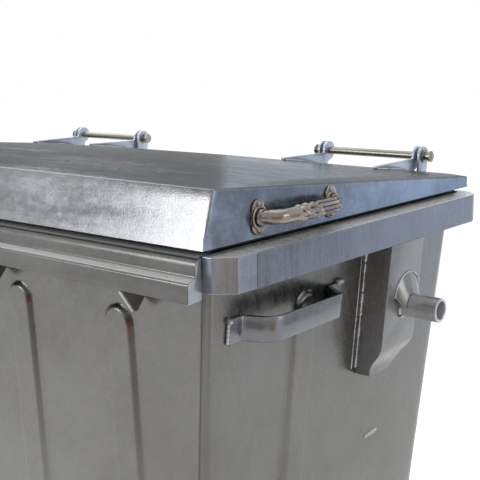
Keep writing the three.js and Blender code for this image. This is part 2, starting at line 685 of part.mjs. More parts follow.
// Half cone over the root of the tube.
function trunnionHood() {
  const tipX = HALF_WIDTH + HOOD_REACH;
  const loops = Array.from({ length: TRUNNION_SIDES / 2 + 1 }, (_, i) => {
    const angle = (Math.PI * i) / (TRUNNION_SIDES / 2);
    const at = (radius, rise, x) => {
      const z = TRUNNION_Z + rise + radius * Math.sin(angle);
      return vec(x ?? bracketFaceX(z) + WELD_GAP, TRUNNION_Y + radius * Math.cos(angle), z);
    };
    return [
      at(HOOD_BASE_RADIUS - HOOD_SHEET, HOOD_RISE), at(HOOD_BASE_RADIUS, HOOD_RISE),
      at(HOOD_TIP_RADIUS, 0, tipX), at(TRUNNION_RADIUS + WELD_GAP, 0, tipX),
    ];
  });
  return loft(loops);
}

addPair(container, 'trunnion_bracket', trunnionBracket(), zincSheet);
addPair(container, 'trunnion_tube', trunnionTube(), steel);
addPair(container, 'trunnion_hood', trunnionHood(), steel);

// ---- Side handles ------------------------------------------------------------------------------------
// Flat strap: two feet on the wall and a bow between them, all leaning with the wall.
function sideHandle() {
  const top = RIM_BOTTOM - STRAP_DROP;
  const footX = sideWallX(top) + WELD_GAP + STRAP_SHEET;
  const bowX = HALF_WIDTH - STRAP_INSET;
  const corners = [
    [footX, STRAP_FOOT_FRONT, 0],
    [footX, STRAP_RISE_FRONT, STRAP_FOOT_BEND],
    [bowX, STRAP_BOW_FRONT, STRAP_FRONT_BEND],
    [bowX, STRAP_BOW_REAR, STRAP_REAR_BEND],
    [footX, STRAP_RISE_REAR, STRAP_FOOT_BEND],
    [footX, STRAP_FOOT_REAR, 0],
  ];
  const line = filleted(corners.map(([x, s, radius]) => [x, RIM_FRONT_Y + s, radius]), STRAP_STEPS);
  const plan = sheetOutline(line, STRAP_SHEET);
  return loft([top - STRAP_HEIGHT, top].map((z) =>
    plan.map(([x, y]) => vec(x - TAPER_SIDE * (top - z), y, z))));
}

addPair(container, 'side_handle', sideHandle(), zincSheet);

// ---- Lid ---------------------------------------------------------------------------------------------
const lidTopZ = (x, y) => {
  const frontEdge = LID_FRONT_Y + LID_FRONT_LEAN;
  const t = (y - frontEdge) / (LID_REAR_Y - frontEdge);
  const across = Math.min(Math.abs(x) / LID_HALF, 1);
  const plane = LID_BOTTOM + LID_FRONT_HEIGHT + (LID_REAR_HEIGHT - LID_FRONT_HEIGHT) * t;
  return plane + LID_CROWN * (1 - across ** 2) * Math.max(4 * t * (1 - t), 0);
};

// The wedge of space inside the lid's skin moved in by an amount, or raised above it.
function lidWedge(inset, raise, below) {
  const half = LID_HALF - inset;
  const bottom = LID_BOTTOM - below;
  const lean = LID_FRONT_LEAN / LID_FRONT_HEIGHT;
  const frontTop = LID_FRONT_Y + LID_FRONT_LEAN + inset;
  const frontBottom = LID_FRONT_Y + inset - below * lean;
  const rear = LID_REAR_Y - inset;
  const sections = Array.from({ length: LID_STEPS_ACROSS + 1 }, (_, i) => {
    const x = -half + (2 * half * i) / LID_STEPS_ACROSS;
    const upper = Array.from({ length: LID_STEPS_DEEP + 1 }, (_, j) => {
      const y = frontTop + ((rear - frontTop) * j) / LID_STEPS_DEEP;
      return vec(x, y, lidTopZ(x, y) + raise);
    });
    return [vec(x, frontBottom, bottom), ...upper, vec(x, rear, bottom)];
  });
  return loft(sections);
}

function lidPan() {
  return cut(lidWedge(0, 0, 0), lidWedge(LID_SHEET, -LID_SHEET, LID_SHEET));
}

// Rubber strip inside the lid's skirts, resting on the rim.
function lidSeal() {
  const inset = LID_SHEET + CLEAR;
  const half = LID_HALF - inset;
  const front = RIM_FRONT_Y + SEAL_FRONT_SETBACK;
  const rear = LID_REAR_Y - inset;
  const top = RIM_TOP + SEAL_TOP;
  const bottom = RIM_TOP + CLEAR;
  const ring = (edge, z0, z1) => block(edge - half, half - edge, front + edge, rear - edge, z0, z1);
  return cut(ring(0, bottom, top), ring(SEAL_WIDTH, bottom - 1, top + 1));
}

const ARM_OFFSETS = ARM_INSETS.map((inset) => HALF_WIDTH - inset);

// Hinge arm: a tapered plate on the lid with a round ear for the pin.
function lidArm(x) {
  const tipY = PIN_Y - ARM_REACH;
  const lidUnderArm = (y) => lidTopZ(x, y) - ARM_SHEET;
  const outline = [
    [tipY, lidUnderArm(tipY)], [tipY, lidTopZ(x, tipY) + ARM_TIP_HEIGHT],
    [PIN_Y - EAR_RADIUS - ARM_SHOULDER, PIN_Z - ARM_SHOULDER], ...earArc(195, -60),
    [LID_REAR_Y - ARM_HEEL, lidTopZ(x, LID_REAR_Y)],
    [LID_REAR_Y - ARM_HEEL * 2, lidUnderArm(LID_REAR_Y) - ARM_SHEET],
  ];
  const plate = prismX(outline, x - ARM_SHEET / 2, x + ARM_SHEET / 2);
  return cut(plate, lidWedge(-CLEAR, CLEAR, 0), pinHole(x));
}

// The round end of an arm or plate about the pin, from one angle down to another.
function earArc(from, to) {
  return arc(PIN_Y, PIN_Z, EAR_RADIUS, from, to, Math.round((from - to) / EAR_FACET));
}

function pinHole(x) {
  const radius = PIN_RADIUS + PIN_CLEARANCE;
  const half = ARM_SHEET * 2;
  return moved(turnedSolid([[radius, x - half], [radius, x + half]], 'x', PIN_SIDES), 0, PIN_Y, PIN_Z);
}

// The body's side of a hinge: two upright plates outside the arms, joined by a web on the rim.
function hingeBracket() {
  const foot = RIM_REAR_Y + WELD_GAP;
  const plateOutline = [
    [foot, RIM_BOTTOM], [foot, RIM_TOP + CLEAR], [PIN_Y - PLATE_FRONT, RIM_TOP + PLATE_STEP],
    ...earArc(180, -30), [PIN_Y + WEB_SHEET, RIM_TOP], [foot + WEB_SHEET, RIM_BOTTOM],
  ];
  const [near, far] = ARM_OFFSETS;
  const plate = (x) => cut(prismX(plateOutline, x - PLATE_SHEET / 2, x + PLATE_SHEET / 2), pinHole(x));
  const xNear = near - PLATE_SPACING;
  const xFar = far + PLATE_SPACING;
  const web = block(xNear, xFar, foot, foot + WEB_SHEET, RIM_BOTTOM, RIM_TOP - WEB_SHEET);
  return joined(plate(xNear), plate(xFar), web);
}

function hingePin() {
  const [near, far] = ARM_OFFSETS;
  const shoulder = PLATE_SPACING + PLATE_SHEET / 2 + CLEAR;
  const x0 = near - shoulder;
  const x1 = far + shoulder;
  return moved(turnedSolid([
    [PIN_HEAD_RADIUS, x0 - PIN_HEAD_LENGTH], [PIN_HEAD_RADIUS, x0], [PIN_RADIUS, x0],
    [PIN_RADIUS, x1], [PIN_HEAD_RADIUS, x1], [PIN_HEAD_RADIUS, x1 + PIN_HEAD_LENGTH],
  ], 'x', PIN_SIDES), 0, PIN_Y, PIN_Z);
}

// Bow handle: two upright roses and a round bar bowed out between them.
function lidPull() {
  const x0 = LID_HALF + CLEAR;
  const z = RIM_TOP + PULL_ABOVE_RIM;
  const barX = x0 + PULL_PROJECTION;
  const y0 = RIM_FRONT_Y + PULL_FRONT;
  const y1 = RIM_FRONT_Y + PULL_REAR;
  const rose = (y) => {
    const lobe = (PULL_ROSE_HEIGHT - PULL_ROSE_WIDTH) / 2;
    const outline = [
      ...arc(y, z + lobe, PULL_ROSE_WIDTH / 2, 0, 180, RIB_STEPS),
      ...arc(y, z - lobe, PULL_ROSE_WIDTH / 2, 180, 360, RIB_STEPS),
    ];
    return prismX(outline, x0, x0 + PULL_ROSE_SHEET);
  };
  const bend = PULL_PROJECTION - PULL_ROSE_SHEET / 2;
  const start = x0 + PULL_ROSE_SHEET / 2;
  const path = [
    [start, y0], ...arc(start, y0 + bend, bend, -90, 0, PULL_STEPS).slice(1),
    ...arc(start, y1 - bend, bend, 0, 90, PULL_STEPS),
  ];
  const loops = path.map(([x, y], i) => {
    const before = path[Math.max(i - 1, 0)];
    const after = path[Math.min(i + 1, path.length - 1)];
    const inner = i > 0 && i < path.length - 1;
    const along = inner ? [after[0] - before[0], after[1] - before[1]] : [i === 0 ? 1 : -1, 0];
    const side = leftOf([0, 0], along);
    return Array.from({ length: PULL_SIDES }, (_, k) => {
      const angle = (FULL_TURN * k) / PULL_SIDES;
      const across = PULL_BAR_RADIUS * Math.cos(angle);
      return vec(x + side[0] * across, y + side[1] * across, z + PULL_BAR_RADIUS * Math.sin(angle));
    });
  });
  return joined(loft(loops), rose(y0), rose(y1));
}

addPiece(container, 'lid_pan', lidPan(), zincLid);
addPiece(container, 'lid_seal', lidSeal(), rubber);
ARM_OFFSETS.forEach((x, i) => addPair(container, `lid_arm_${i + 1}`, lidArm(x), zincLid));
addPair(container, 'lid_pull', lidPull(), plating);
addPair(container, 'hinge_bracket', hingeBracket(), zincRim);
addPair(container, 'hinge_pin', hingePin(), steel);

// ---- Chassis and castors -----------------------------------------------------------------------------
// Channel under the floor pan, with its web down for the castor plates.
function channel(y) {
  const half = CHANNEL_WIDTH / 2;
  const bottom = CASTOR_HEIGHT + CLEAR;
  const top = FLOOR_Z - WELD_GAP;
  const line = [[y - half, top], [y - half, bottom], [y + half, bottom], [y + half, top]];
  const reach = sideWallX(FLOOR_Z) - CHANNEL_END_INSET;
  return prismX(sheetOutline(line, CHANNEL_SHEET), -reach, reach);
}

// A castor is made with its swivel axis at the origin and its wheel trailing towards +X.
const AXLE_Z = WHEEL_RADIUS;
const LEG_Y = HUB_WIDTH / 2 + FORK_GAP;

function castorPlate() {
  const x = PLATE_LENGTH / 2;
  const y = PLATE_BREADTH / 2;
  return block(-x, x, -y, y, PLATE_Z, CASTOR_HEIGHT);
}

// Pressed fork: a round swivel head, a crown and two legs down to the axle.
function castorFork(withPedal) {
  const head = turnedSolid([[RACE_RADIUS, CROWN_BOTTOM], [RACE_RADIUS, PLATE_Z - CLEAR]], 'z', WHEEL_SIDES);
  const outer = LEG_Y + FORK_SHEET;
  const crown = block(-RACE_RADIUS, CASTOR_TRAIL, -outer, outer, CROWN_BOTTOM, CROWN_TOP);
  const pivot = pedalPivot();
  const boss = AXLE_HEAD_RADIUS + FORK_SHEET;
  const legOutline = [
    [-RACE_RADIUS, CROWN_TOP], [-RACE_RADIUS, CROWN_BOTTOM - RACE_HEIGHT],
    ...arc(CASTOR_TRAIL, AXLE_Z, boss, 200, 360, FORK_STEPS),
    ...(withPedal ? [
      [CASTOR_TRAIL + boss, AXLE_Z + FORK_WAIST],
      ...arc(pivot.x, pivot.z, PEDAL_BARREL + FORK_SHEET, -60, 90, FORK_STEPS),
    ] : []),
    [CASTOR_TRAIL + boss, CROWN_TOP],
  ];
  const leg = (y) => prismY(legOutline, y, y + FORK_SHEET);
  const bore = (x, z, radius) => moved(turnedSolid(
    [[radius, -outer - 1], [radius, outer + 1]], 'y', PIN_SIDES), x, 0, z);
  const body = joined(head, crown, leg(LEG_Y), leg(-outer));
  const holes = [bore(CASTOR_TRAIL, AXLE_Z, AXLE_RADIUS + CLEAR)];
  if (withPedal) holes.push(bore(pivot.x, pivot.z, PEDAL_PIN + CLEAR));
  return cut(body, ...holes);
}

function castorAxle() {
  const outer = LEG_Y + FORK_SHEET + CLEAR;
  return moved(turnedSolid([
    [AXLE_HEAD_RADIUS, -outer - AXLE_HEAD], [AXLE_HEAD_RADIUS, -outer], [AXLE_RADIUS, -outer],
    [AXLE_RADIUS, outer], [AXLE_HEAD_RADIUS, outer], [AXLE_HEAD_RADIUS, outer + AXLE_HEAD],
  ], 'y', PIN_SIDES), CASTOR_TRAIL, 0, AXLE_Z);
}

// The tyre's sides are facets, and one of them lies flat on the floor.
function castorTyre() {
  const corner = 1 / Math.cos(Math.PI / WHEEL_SIDES);
  const half = TYRE_WIDTH / 2;
  const ring = [
    [TYRE_BORE * corner, -half], [(WHEEL_RADIUS - TYRE_SHOULDER) * corner, -half],
    [WHEEL_RADIUS * corner, TYRE_SHOULDER - half], [WHEEL_RADIUS * corner, half - TYRE_SHOULDER],
    [(WHEEL_RADIUS - TYRE_SHOULDER) * corner, half], [TYRE_BORE * corner, half],
  ];
  return moved(turned(ring, 'y', WHEEL_SIDES, Math.PI / WHEEL_SIDES), CASTOR_TRAIL, 0, AXLE_Z);
}

function castorHub() {
  const rim = HUB_RIM_WIDTH / 2;
  const web = HUB_WEB / 2;
  const boss = HUB_WIDTH / 2;
  const outer = TYRE_BORE - CLEAR;
  const bore = AXLE_RADIUS + CLEAR;
  const ring = [
    [bore, -boss], [HUB_BOSS_RADIUS, -boss], [HUB_BOSS_RADIUS, -web], [outer - HUB_RIM_SHEET, -web],
    [outer - HUB_RIM_SHEET, -rim], [outer, -rim], [outer, rim], [outer - HUB_RIM_SHEET, rim],
    [outer - HUB_RIM_SHEET, web], [HUB_BOSS_RADIUS, web], [HUB_BOSS_RADIUS, boss], [bore, boss],
  ];
  return moved(turned(ring, 'y', HUB_SIDES), CASTOR_TRAIL, 0, AXLE_Z);
}

function pedalPivot() {
  const angle = THREE.MathUtils.degToRad(PEDAL_ANGLE);
  const reach = WHEEL_RADIUS + PEDAL_CLEARANCE + PEDAL_BARREL;
  return { x: CASTOR_TRAIL + reach * Math.cos(angle), z: AXLE_Z + reach * Math.sin(angle) };
}

// Brake pedal: a barrel on its pin between the fork's legs, with a foot plate.
function brakePedal() {
  const pivot = pedalPivot();
  const half = LEG_Y - CLEAR;
  const outer = LEG_Y + FORK_SHEET;
  const barrel = turnedSolid([[PEDAL_BARREL, -half], [PEDAL_BARREL, half]], 'y', PIN_SIDES);
  const pin = turnedSolid([[PEDAL_PIN, -outer], [PEDAL_PIN, outer]], 'y', PIN_SIDES);
  const plate = block(0, PEDAL_LENGTH, -half, half, PEDAL_SHEET / 2, PEDAL_SHEET * 1.5);
  return moved(joined(barrel, pin, plate), pivot.x, 0, pivot.z);
}

['front', 'rear'].forEach((end, i) => {
  const sign = i === 0 ? -1 : 1;
  addPiece(container, `chassis_channel_${end}`, channel(sign * CASTOR_OFFSET_Y), zincSheet);
});

['front', 'rear'].forEach((end) => {
  ['right', 'left'].forEach((side) => {
    const place = new THREE.Group();
    const x = side === 'right' ? CASTOR_OFFSET_X : -CASTOR_OFFSET_X;
    const y = end === 'front' ? -CASTOR_OFFSET_Y : CASTOR_OFFSET_Y;
    place.position.set(x, y, 0);
    place.rotation.z = end === 'front' ? -Math.PI / 2 : Math.PI / 2;
    const tag = `${end}_${side}`;
    addPiece(place, `castor_plate_${tag}`, castorPlate(), steel);
    addPiece(place, `castor_fork_${tag}`, castorFork(end === 'front'), steel);
    addPiece(place, `castor_axle_${tag}`, castorAxle(), steel);
    addPiece(place, `castor_hub_${tag}`, castorHub(), hubPlastic);
    addPiece(place, `castor_tyre_${tag}`, castorTyre(), rubber);
    if (end === 'front') addPiece(place, `brake_pedal_${side}`, brakePedal(), steel);
    container.add(place);
  });
});

export default container;
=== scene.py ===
# A four-wheeled galvanized steel waste container with a hinged lid, dressed round its CAD frame.
# Metres; +Z is up, +X the container's right side, -Y its front. The origin is on the floor.
import math
import random

import bmesh
import bpy
from mathutils import Matrix, Vector, noise


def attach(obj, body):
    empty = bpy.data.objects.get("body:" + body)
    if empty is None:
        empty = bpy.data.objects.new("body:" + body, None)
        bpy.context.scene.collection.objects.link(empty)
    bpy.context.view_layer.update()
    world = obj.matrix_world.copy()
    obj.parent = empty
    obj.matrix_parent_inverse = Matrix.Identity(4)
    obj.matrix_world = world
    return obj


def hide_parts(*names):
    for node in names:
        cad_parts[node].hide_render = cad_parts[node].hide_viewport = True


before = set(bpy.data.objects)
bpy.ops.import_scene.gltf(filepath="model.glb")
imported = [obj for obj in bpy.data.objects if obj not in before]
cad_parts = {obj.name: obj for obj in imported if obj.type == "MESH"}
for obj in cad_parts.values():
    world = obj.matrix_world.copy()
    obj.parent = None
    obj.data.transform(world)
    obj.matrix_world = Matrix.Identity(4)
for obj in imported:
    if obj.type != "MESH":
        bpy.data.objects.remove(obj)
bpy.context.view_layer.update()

X, Y, Z = Vector((1, 0, 0)), Vector((0, 1, 0)), Vector((0, 0, 1))

# ---- Body walls ------------------------------------------------------------------------------
# Two side walls bent round the corners, with a front and a rear wall butted between them. They
# are 2 mm steel sheet with long ribs pressed out of it, and are galvanized after welding.
RIM_TOP = 1.250
RIM_BOTTOM = 1.202
FLOOR = 0.265
WALL_SHEET = 0.002
WELD_GAP = 0.0003
SIDE_AT_RIM = 0.579
FRONT_AT_RIM = -0.350
REAR_AT_RIM = 0.345
SIDE_TAPER = 0.09
END_TAPER = 0.05
FRONT_BEND = 0.011
REAR_BEND = 0.050
BEND_STEPS = 10
RIB_HALF = 0.030
RIB_CROWN_HALF = 0.021
RIB_RISE = 0.007
RIB_LOW = FLOOR + 0.070
RIB_HIGH = RIM_BOTTOM - 0.045
END_RIBS = [-0.406, -0.184, 0.184, 0.406]
SIDE_RIB = -0.129
EDGE_DIRT = 0.75


def side_face(z):
    return SIDE_AT_RIM - SIDE_TAPER * (RIM_BOTTOM - z)


def front_face(z):
    return FRONT_AT_RIM + END_TAPER * (RIM_BOTTOM - z)


def rear_face(z):
    return REAR_AT_RIM - END_TAPER * (RIM_BOTTOM - z)


def smooth_step(t):
    t = min(max(t, 0.0), 1.0)
    return t * t * (3 - 2 * t)


def rib_rise(aside, z):
    """How far a rib lifts the sheet, beside the rib's middle line and at a height."""
    past_end = max(RIB_LOW + RIB_HALF - z, z - (RIB_HIGH - RIB_HALF), 0.0)
    inside = RIB_HALF - math.hypot(aside, past_end)
    return RIB_RISE * smooth_step(inside / (RIB_HALF - RIB_CROWN_HALF))


def rib_shade(aside, z):
    """How much painted shade darkens the flanks of a rib: most round its upper end under the rail, less down
    its sides, more on the right than on the left.
    """
    past_end = z - (RIB_HIGH - RIB_HALF)
    inside = RIB_HALF - math.hypot(aside, max(past_end, RIB_LOW + RIB_HALF - z, 0.0))
    flank = max(0.0, 1 - ((inside - 0.0042) / 0.0046) ** 2)
    fade = smooth_step((z - 0.74) / 0.40)
    down_side = (0.62 if aside > 0 else 0.16) * fade * smooth_step(abs(aside) / 0.02)
    return flank * max(0.95 * smooth_step(past_end / 0.010), down_side)


def rib_red_reflection(aside, z):
    """A painted reddish reflection at the right of a rib's upper end."""
    away = math.hypot((aside - 0.0235) / 0.005, (z - (RIB_HIGH - RIB_HALF + 0.004)) / 0.011)
    return 0.8 * smooth_step(1.35 - away)


def buckle(point):
    """The slight waves of a thin welded sheet, which die out at the rim and at the floor."""
    held = smooth_step((RIM_BOTTOM - 0.02 - point.z) / 0.15) * smooth_step((point.z - FLOOR - 0.02) / 0.15)
    return held * (0.0016 * noise.noise(point * 2.3) + 0.0005 * noise.noise(point * 9.0))


def stations(start, stop, fine, coarse, spots, reach):
    """Places from start to stop, close together round each spot and wider apart elsewhere."""
    places = [start]
    while places[-1] < stop - fine / 2:
        away = min(abs(places[-1] - spot) - reach for spot in spots)
        places.append(min(places[-1] + min(coarse, max(fine, away)), stop))
    return places


def pressed_sheet(columns, rows, place):
    """A sheet as a grid of points, each with its spot and with the dirt, painted shade and painted reddish
    reflection that it holds.
    """
    bm = bmesh.new()
    dirt_and_shade = bm.verts.layers.float.new("dirt_and_shade")
    red_reflection = bm.verts.layers.float.new("red_reflection")
    across, up = len(columns) - 1, len(rows) - 1
    bmesh.ops.create_grid(bm, x_segments=across, y_segments=up, size=0.5)
    for v in bm.verts:
        spot = columns[round((v.co.x + 0.5) * across)], rows[round((v.co.y + 0.5) * up)]
        v.co, v[dirt_and_shade], v[red_reflection] = place(*spot)
    return bm


def add_node(tree, kind, inputs=None, **settings):
    """A shader node with its settings; an input is a value or another node's output."""
    made = tree.nodes.new(kind)
    for key, value in settings.items():
        setattr(made, key, value)
    for key, value in (inputs or {}).items():
        if isinstance(value, bpy.types.NodeSocket):
            tree.links.new(value, made.inputs[key])
        else:
            made.inputs[key].default_value = value
    return made


def graded(tree, source, low, high, to_low=0.0, to_high=1.0):
    return add_node(tree, "ShaderNodeMapRange", {
        "Value": source, "From Min": low, "From Max": high, "To Min": to_low, "To Max": to_high,
    }).outputs[0]


def weighed(tree, source, weight, rest):
    """rest + weight * source, where rest is a number or an output."""
    return add_node(
        tree, "ShaderNodeMath", {0: source, 1: weight, 2: rest}, operation="MULTIPLY_ADD").outputs[0]


def noisy(tree, coords, scale, detail, **more):
    """The value of a noise texture; more holds its other inputs."""
    inputs = {"Vector": coords, "Scale": scale, "Detail": detail, **more}
    return add_node(tree, "ShaderNodeTexNoise", inputs).outputs[0]


def mixed(tree, share, first, second):
    """Two tones mixed as a share from 0 to 1 says."""
    return add_node(tree, "ShaderNodeMixRGB", {0: share, 1: (*first, 1.0), 2: (*second, 1.0)}).outputs[0]


def bumped(tree, shader, height, strength, distance):
    bump = add_node(tree, "ShaderNodeBump", {"Height": height, "Strength": strength, "Distance": distance})
    tree.links.new(bump.outputs[0], shader.inputs["Normal"])


def new_material(name):
    material = bpy.data.materials.new(name)
    material.use_nodes = True
    tree = material.node_tree
    coords = add_node(tree, "ShaderNodeTexCoord").outputs["Object"]
    return material, tree, tree.nodes["Principled BSDF"], coords


def galvanized(name, tone, bloom, rough, streak_turn=(0, 0, 0), streak_length=(0.025, 0.025, 0.33),
               streak=0.10, spangle=0.06, grain=0.06, cloud=0.14, specks=0.25, flecks=0.0, metal=0.85,
               wave=0.10, graze=1.0):
    """Hot-dip zinc: cloudy bloom, run-off streaks, spangle, fine grain, dark specks and bright flecks."""
    material, tree, shader, coords = new_material(name)
    clouds = noisy(tree, coords, 4.0, 5.0, Roughness=0.6)
    along_streaks = add_node(tree, "ShaderNodeMapping", {
        "Vector": coords, "Rotation": streak_turn, "Scale": streak_length}, vector_type="TEXTURE")
    streaks = noisy(tree, along_streaks.outputs[0], 1.0, 7.0, Roughness=0.72, Distortion=0.4)
    crystals = add_node(tree, "ShaderNodeTexVoronoi", {"Vector": coords, "Scale": 95.0}, feature="F1")
    crystal = add_node(tree, "ShaderNodeSeparateColor", {0: crystals.outputs["Color"]}).outputs[0]
    fine = noisy(tree, coords, 520.0, 3.0)
    patches = noisy(tree, coords, 11.0, 2.0)

    def spots(across, radius, low, high):
        dots = add_node(tree, "ShaderNodeTexVoronoi", {
            "Vector": coords, "Scale": across}, feature="F1").outputs["Distance"]
        return add_node(tree, "ShaderNodeMath", {
            0: graded(tree, dots, radius, radius * 1.6, 1.0, 0.0), 1: graded(tree, patches, low, high)},
            operation="MULTIPLY").outputs[0]

    clouds = graded(tree, clouds, 0.32, 0.68, -0.5, 0.5)
    streaks = graded(tree, streaks, 0.32, 0.68, -0.5, 0.5)
    crystal = graded(tree, crystal, 0.0, 1.0, -0.5, 0.5)
    fine = graded(tree, fine, 0.3, 0.7, -0.5, 0.5)
    value = weighed(tree, clouds, cloud, 1.0)
    value = weighed(tree, streaks, streak, value)
    value = weighed(tree, crystal, spangle, value)
    value = weighed(tree, fine, grain, value)
    value = weighed(tree, spots(42.0, 0.05, 0.58, 0.66), -specks, value)
    if flecks:
        value = weighed(tree, spots(150.0, 0.10, 0.52, 0.60), flecks, value)
    tint = mixed(tree, graded(tree, clouds, -0.5, 0.5), tone, bloom)
    colour = add_node(tree, "ShaderNodeVectorMath", {0: tint, "Scale": value}, operation="SCALE")
    tree.links.new(colour.outputs[0], shader.inputs["Base Color"])
    shine = weighed(tree, streaks, 0.16, rough)
    shine = weighed(tree, crystal, 0.07, shine)
    shine = weighed(tree, clouds, 0.08, shine)
    tree.links.new(shine, shader.inputs["Roughness"])
    height = weighed(tree, fine, 0.15, 0.0)
    height = weighed(tree, streaks, 0.5, height)
    height = weighed(tree, clouds, 1.6, height)
    bumped(tree, shader, height, wave, 0.002)
    shader.inputs["Metallic"].default_value = metal
    shader.inputs["Specular Tint"].default_value = (graze, graze, graze, 1.0)
    return material


def laid_over(material, mask, colour, blend="MULTIPLY"):
    """Lays a colour over a finish where a mask from 0 to 1 says."""
    tree = material.node_tree
    base = tree.nodes["Principled BSDF"].inputs["Base Color"]
    under = base.links[0].from_socket
    over = add_node(tree, "ShaderNodeMixRGB", {0: mask, 1: under, 2: (*colour, 1.0)}, blend_type=blend)
    tree.links.new(over.outputs[0], base)


def facing(material, axis, low, high):
    """A mask of the faces whose normal points along an axis of the piece, either way."""
    tree = material.node_tree
    normal = add_node(tree, "ShaderNodeTexCoord").outputs["Normal"]
    part = add_node(tree, "ShaderNodeSeparateXYZ", {0: normal}).outputs["XYZ".index(axis)]
    size = add_node(tree, "ShaderNodeMath", {0: part}, operation="ABSOLUTE").outputs[0]
    return graded(tree, size, low, high)


def held(material, layer):
    """What a piece's own layer of values holds, as a mask."""
    return add_node(material.node_tree, "ShaderNodeAttribute", attribute_name=layer).outputs["Fac"]


def new_object(name, bm, finish):
    """Makes an object of a mesh, at the origin and in one finish."""
    mesh = bpy.data.meshes.new(name)
    bm.to_mesh(mesh)
    bm.free()
    mesh.materials.append(finish)
    made = bpy.data.objects.new(name, mesh)
    bpy.context.scene.collection.objects.link(made)
    return made


def piece(name, bm, body, finish, slot, stands_for=(), sheet=None, outward=None, sharp=32):
    """Makes an object of a mesh and puts it on its body; sheet is the thickness of an open one."""
    bmesh.ops.recalc_face_normals(bm, faces=bm.faces)
    if outward is not None and sum((f.normal.dot(outward) * f.calc_area() for f in bm.faces)) < 0:
        bmesh.ops.reverse_faces(bm, faces=bm.faces)
    if sheet:
        bmesh.ops.solidify(bm, geom=bm.faces[:], thickness=sheet)
    made = new_object(name, bm, finish)
    made.data.shade_smooth()
    made.data.set_sharp_from_angle(angle=math.radians(sharp))
    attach(made, body)
    if stands_for:
        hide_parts(*stands_for)
    return made


def mirrored(bm):
    """A copy of a mesh on the container's other side."""
    copy = bm.copy()
    bmesh.ops.scale(copy, vec=(-1, 1, 1), verts=copy.verts)
    return copy


def pair(name, bm, body, finish, slot, nodes=(), outward=None, **settings):
    """The right-hand piece and its mirror image on the left."""
    for side in ("right", "left"):
        turned_out = outward
        if outward is not None and side == "left":
            turned_out = Vector((-outward.x, outward.y, outward.z))
        stands_for = [f"{node}_{side}" for node in nodes]
        shape = bm.copy() if side == "right" else mirrored(bm)
        piece(f"{name}_{side}", shape, body, finish, slot, stands_for, outward=turned_out, **settings)
    bm.free()


END_WALL_ZINC = galvanized(
    "end_wall_zinc", (0.158, 0.155, 0.143), (0.180, 0.178, 0.169), 0.27,
    streak_turn=(0.0, -0.85, 0.0), streak_length=(0.16, 0.017, 0.017), streak=0.13, wave=0.10)
SIDE_WALL_ZINC = galvanized(
    "side_wall_zinc", (0.148, 0.145, 0.138), (0.170, 0.169, 0.166), 0.27,
    streak_turn=(0.35, 0.0, 0.0), streak_length=(0.02, 0.02, 0.20), streak=0.12, wave=0.10)
for wall_zinc in (END_WALL_ZINC, SIDE_WALL_ZINC):
    # Darkens the walls where their layer says: dirt along the welded edges, and painted shade round the
    # ribs' upper ends and down their flanks.
    laid_over(wall_zinc, held(wall_zinc, "dirt_and_shade"), (0.20, 0.20, 0.21))
    # Paints a reddish reflection at the right of each rib's upper end.
    laid_over(wall_zinc, held(wall_zinc, "red_reflection"), (0.80, 0.42, 0.36))

wall_rows = stations(FLOOR, RIM_TOP, 0.003, 0.035, [RIB_LOW + 0.012, RIB_HIGH - 0.012], 0.022)


def narrowed(place, kept, edge_at_top, edge):
    """Moves a column beyond the kept middle in, so that the outer one lies on the tapered edge."""
    if abs(place) <= kept:
        return place
    share = (abs(place) - kept) / (abs(edge_at_top) - kept)
    return math.copysign(kept + share * (abs(edge) - kept), place)


def end_wall(face, outward, bend, ribs):
    def half(z):
        return side_face(z) - bend - WELD_GAP

    def place(column, z):
        x = narrowed(column, 0.442, half(RIM_TOP), half(z))
        point = Vector((x, face(z), z))
        lift = max(rib_rise(x - rib, z) for rib in ribs) + buckle(point)
        # Dirt along the welded edge, and painted shade round the ribs.
        edge_dirt = EDGE_DIRT * smooth_step((abs(x) - half(z)) / 0.003 + 1)
        dirt_and_shade = max(edge_dirt, *(rib_shade(x - rib, z) for rib in ribs))
        # A painted reddish reflection beside each rib's upper end.
        red_reflection = max(rib_red_reflection(x - rib, z) for rib in ribs)
        return point + Vector((0, outward, 0)) * lift, dirt_and_shade, red_reflection

    edge = half(RIM_TOP)
    columns = stations(-edge, edge, 0.0028, 0.03, ribs, RIB_HALF + 0.004)
    return pressed_sheet(columns, wall_rows, place)


piece("body_wall_front", end_wall(front_face, -1, FRONT_BEND, END_RIBS), "body", END_WALL_ZINC,
      "zinc_sheet", ["wall_front"], sheet=WALL_SHEET, outward=-Y)
piece("body_wall_rear", end_wall(rear_face, 1, REAR_BEND, END_RIBS), "body", END_WALL_ZINC,
      "zinc_sheet", ["wall_rear"], sheet=WALL_SHEET, outward=Y)


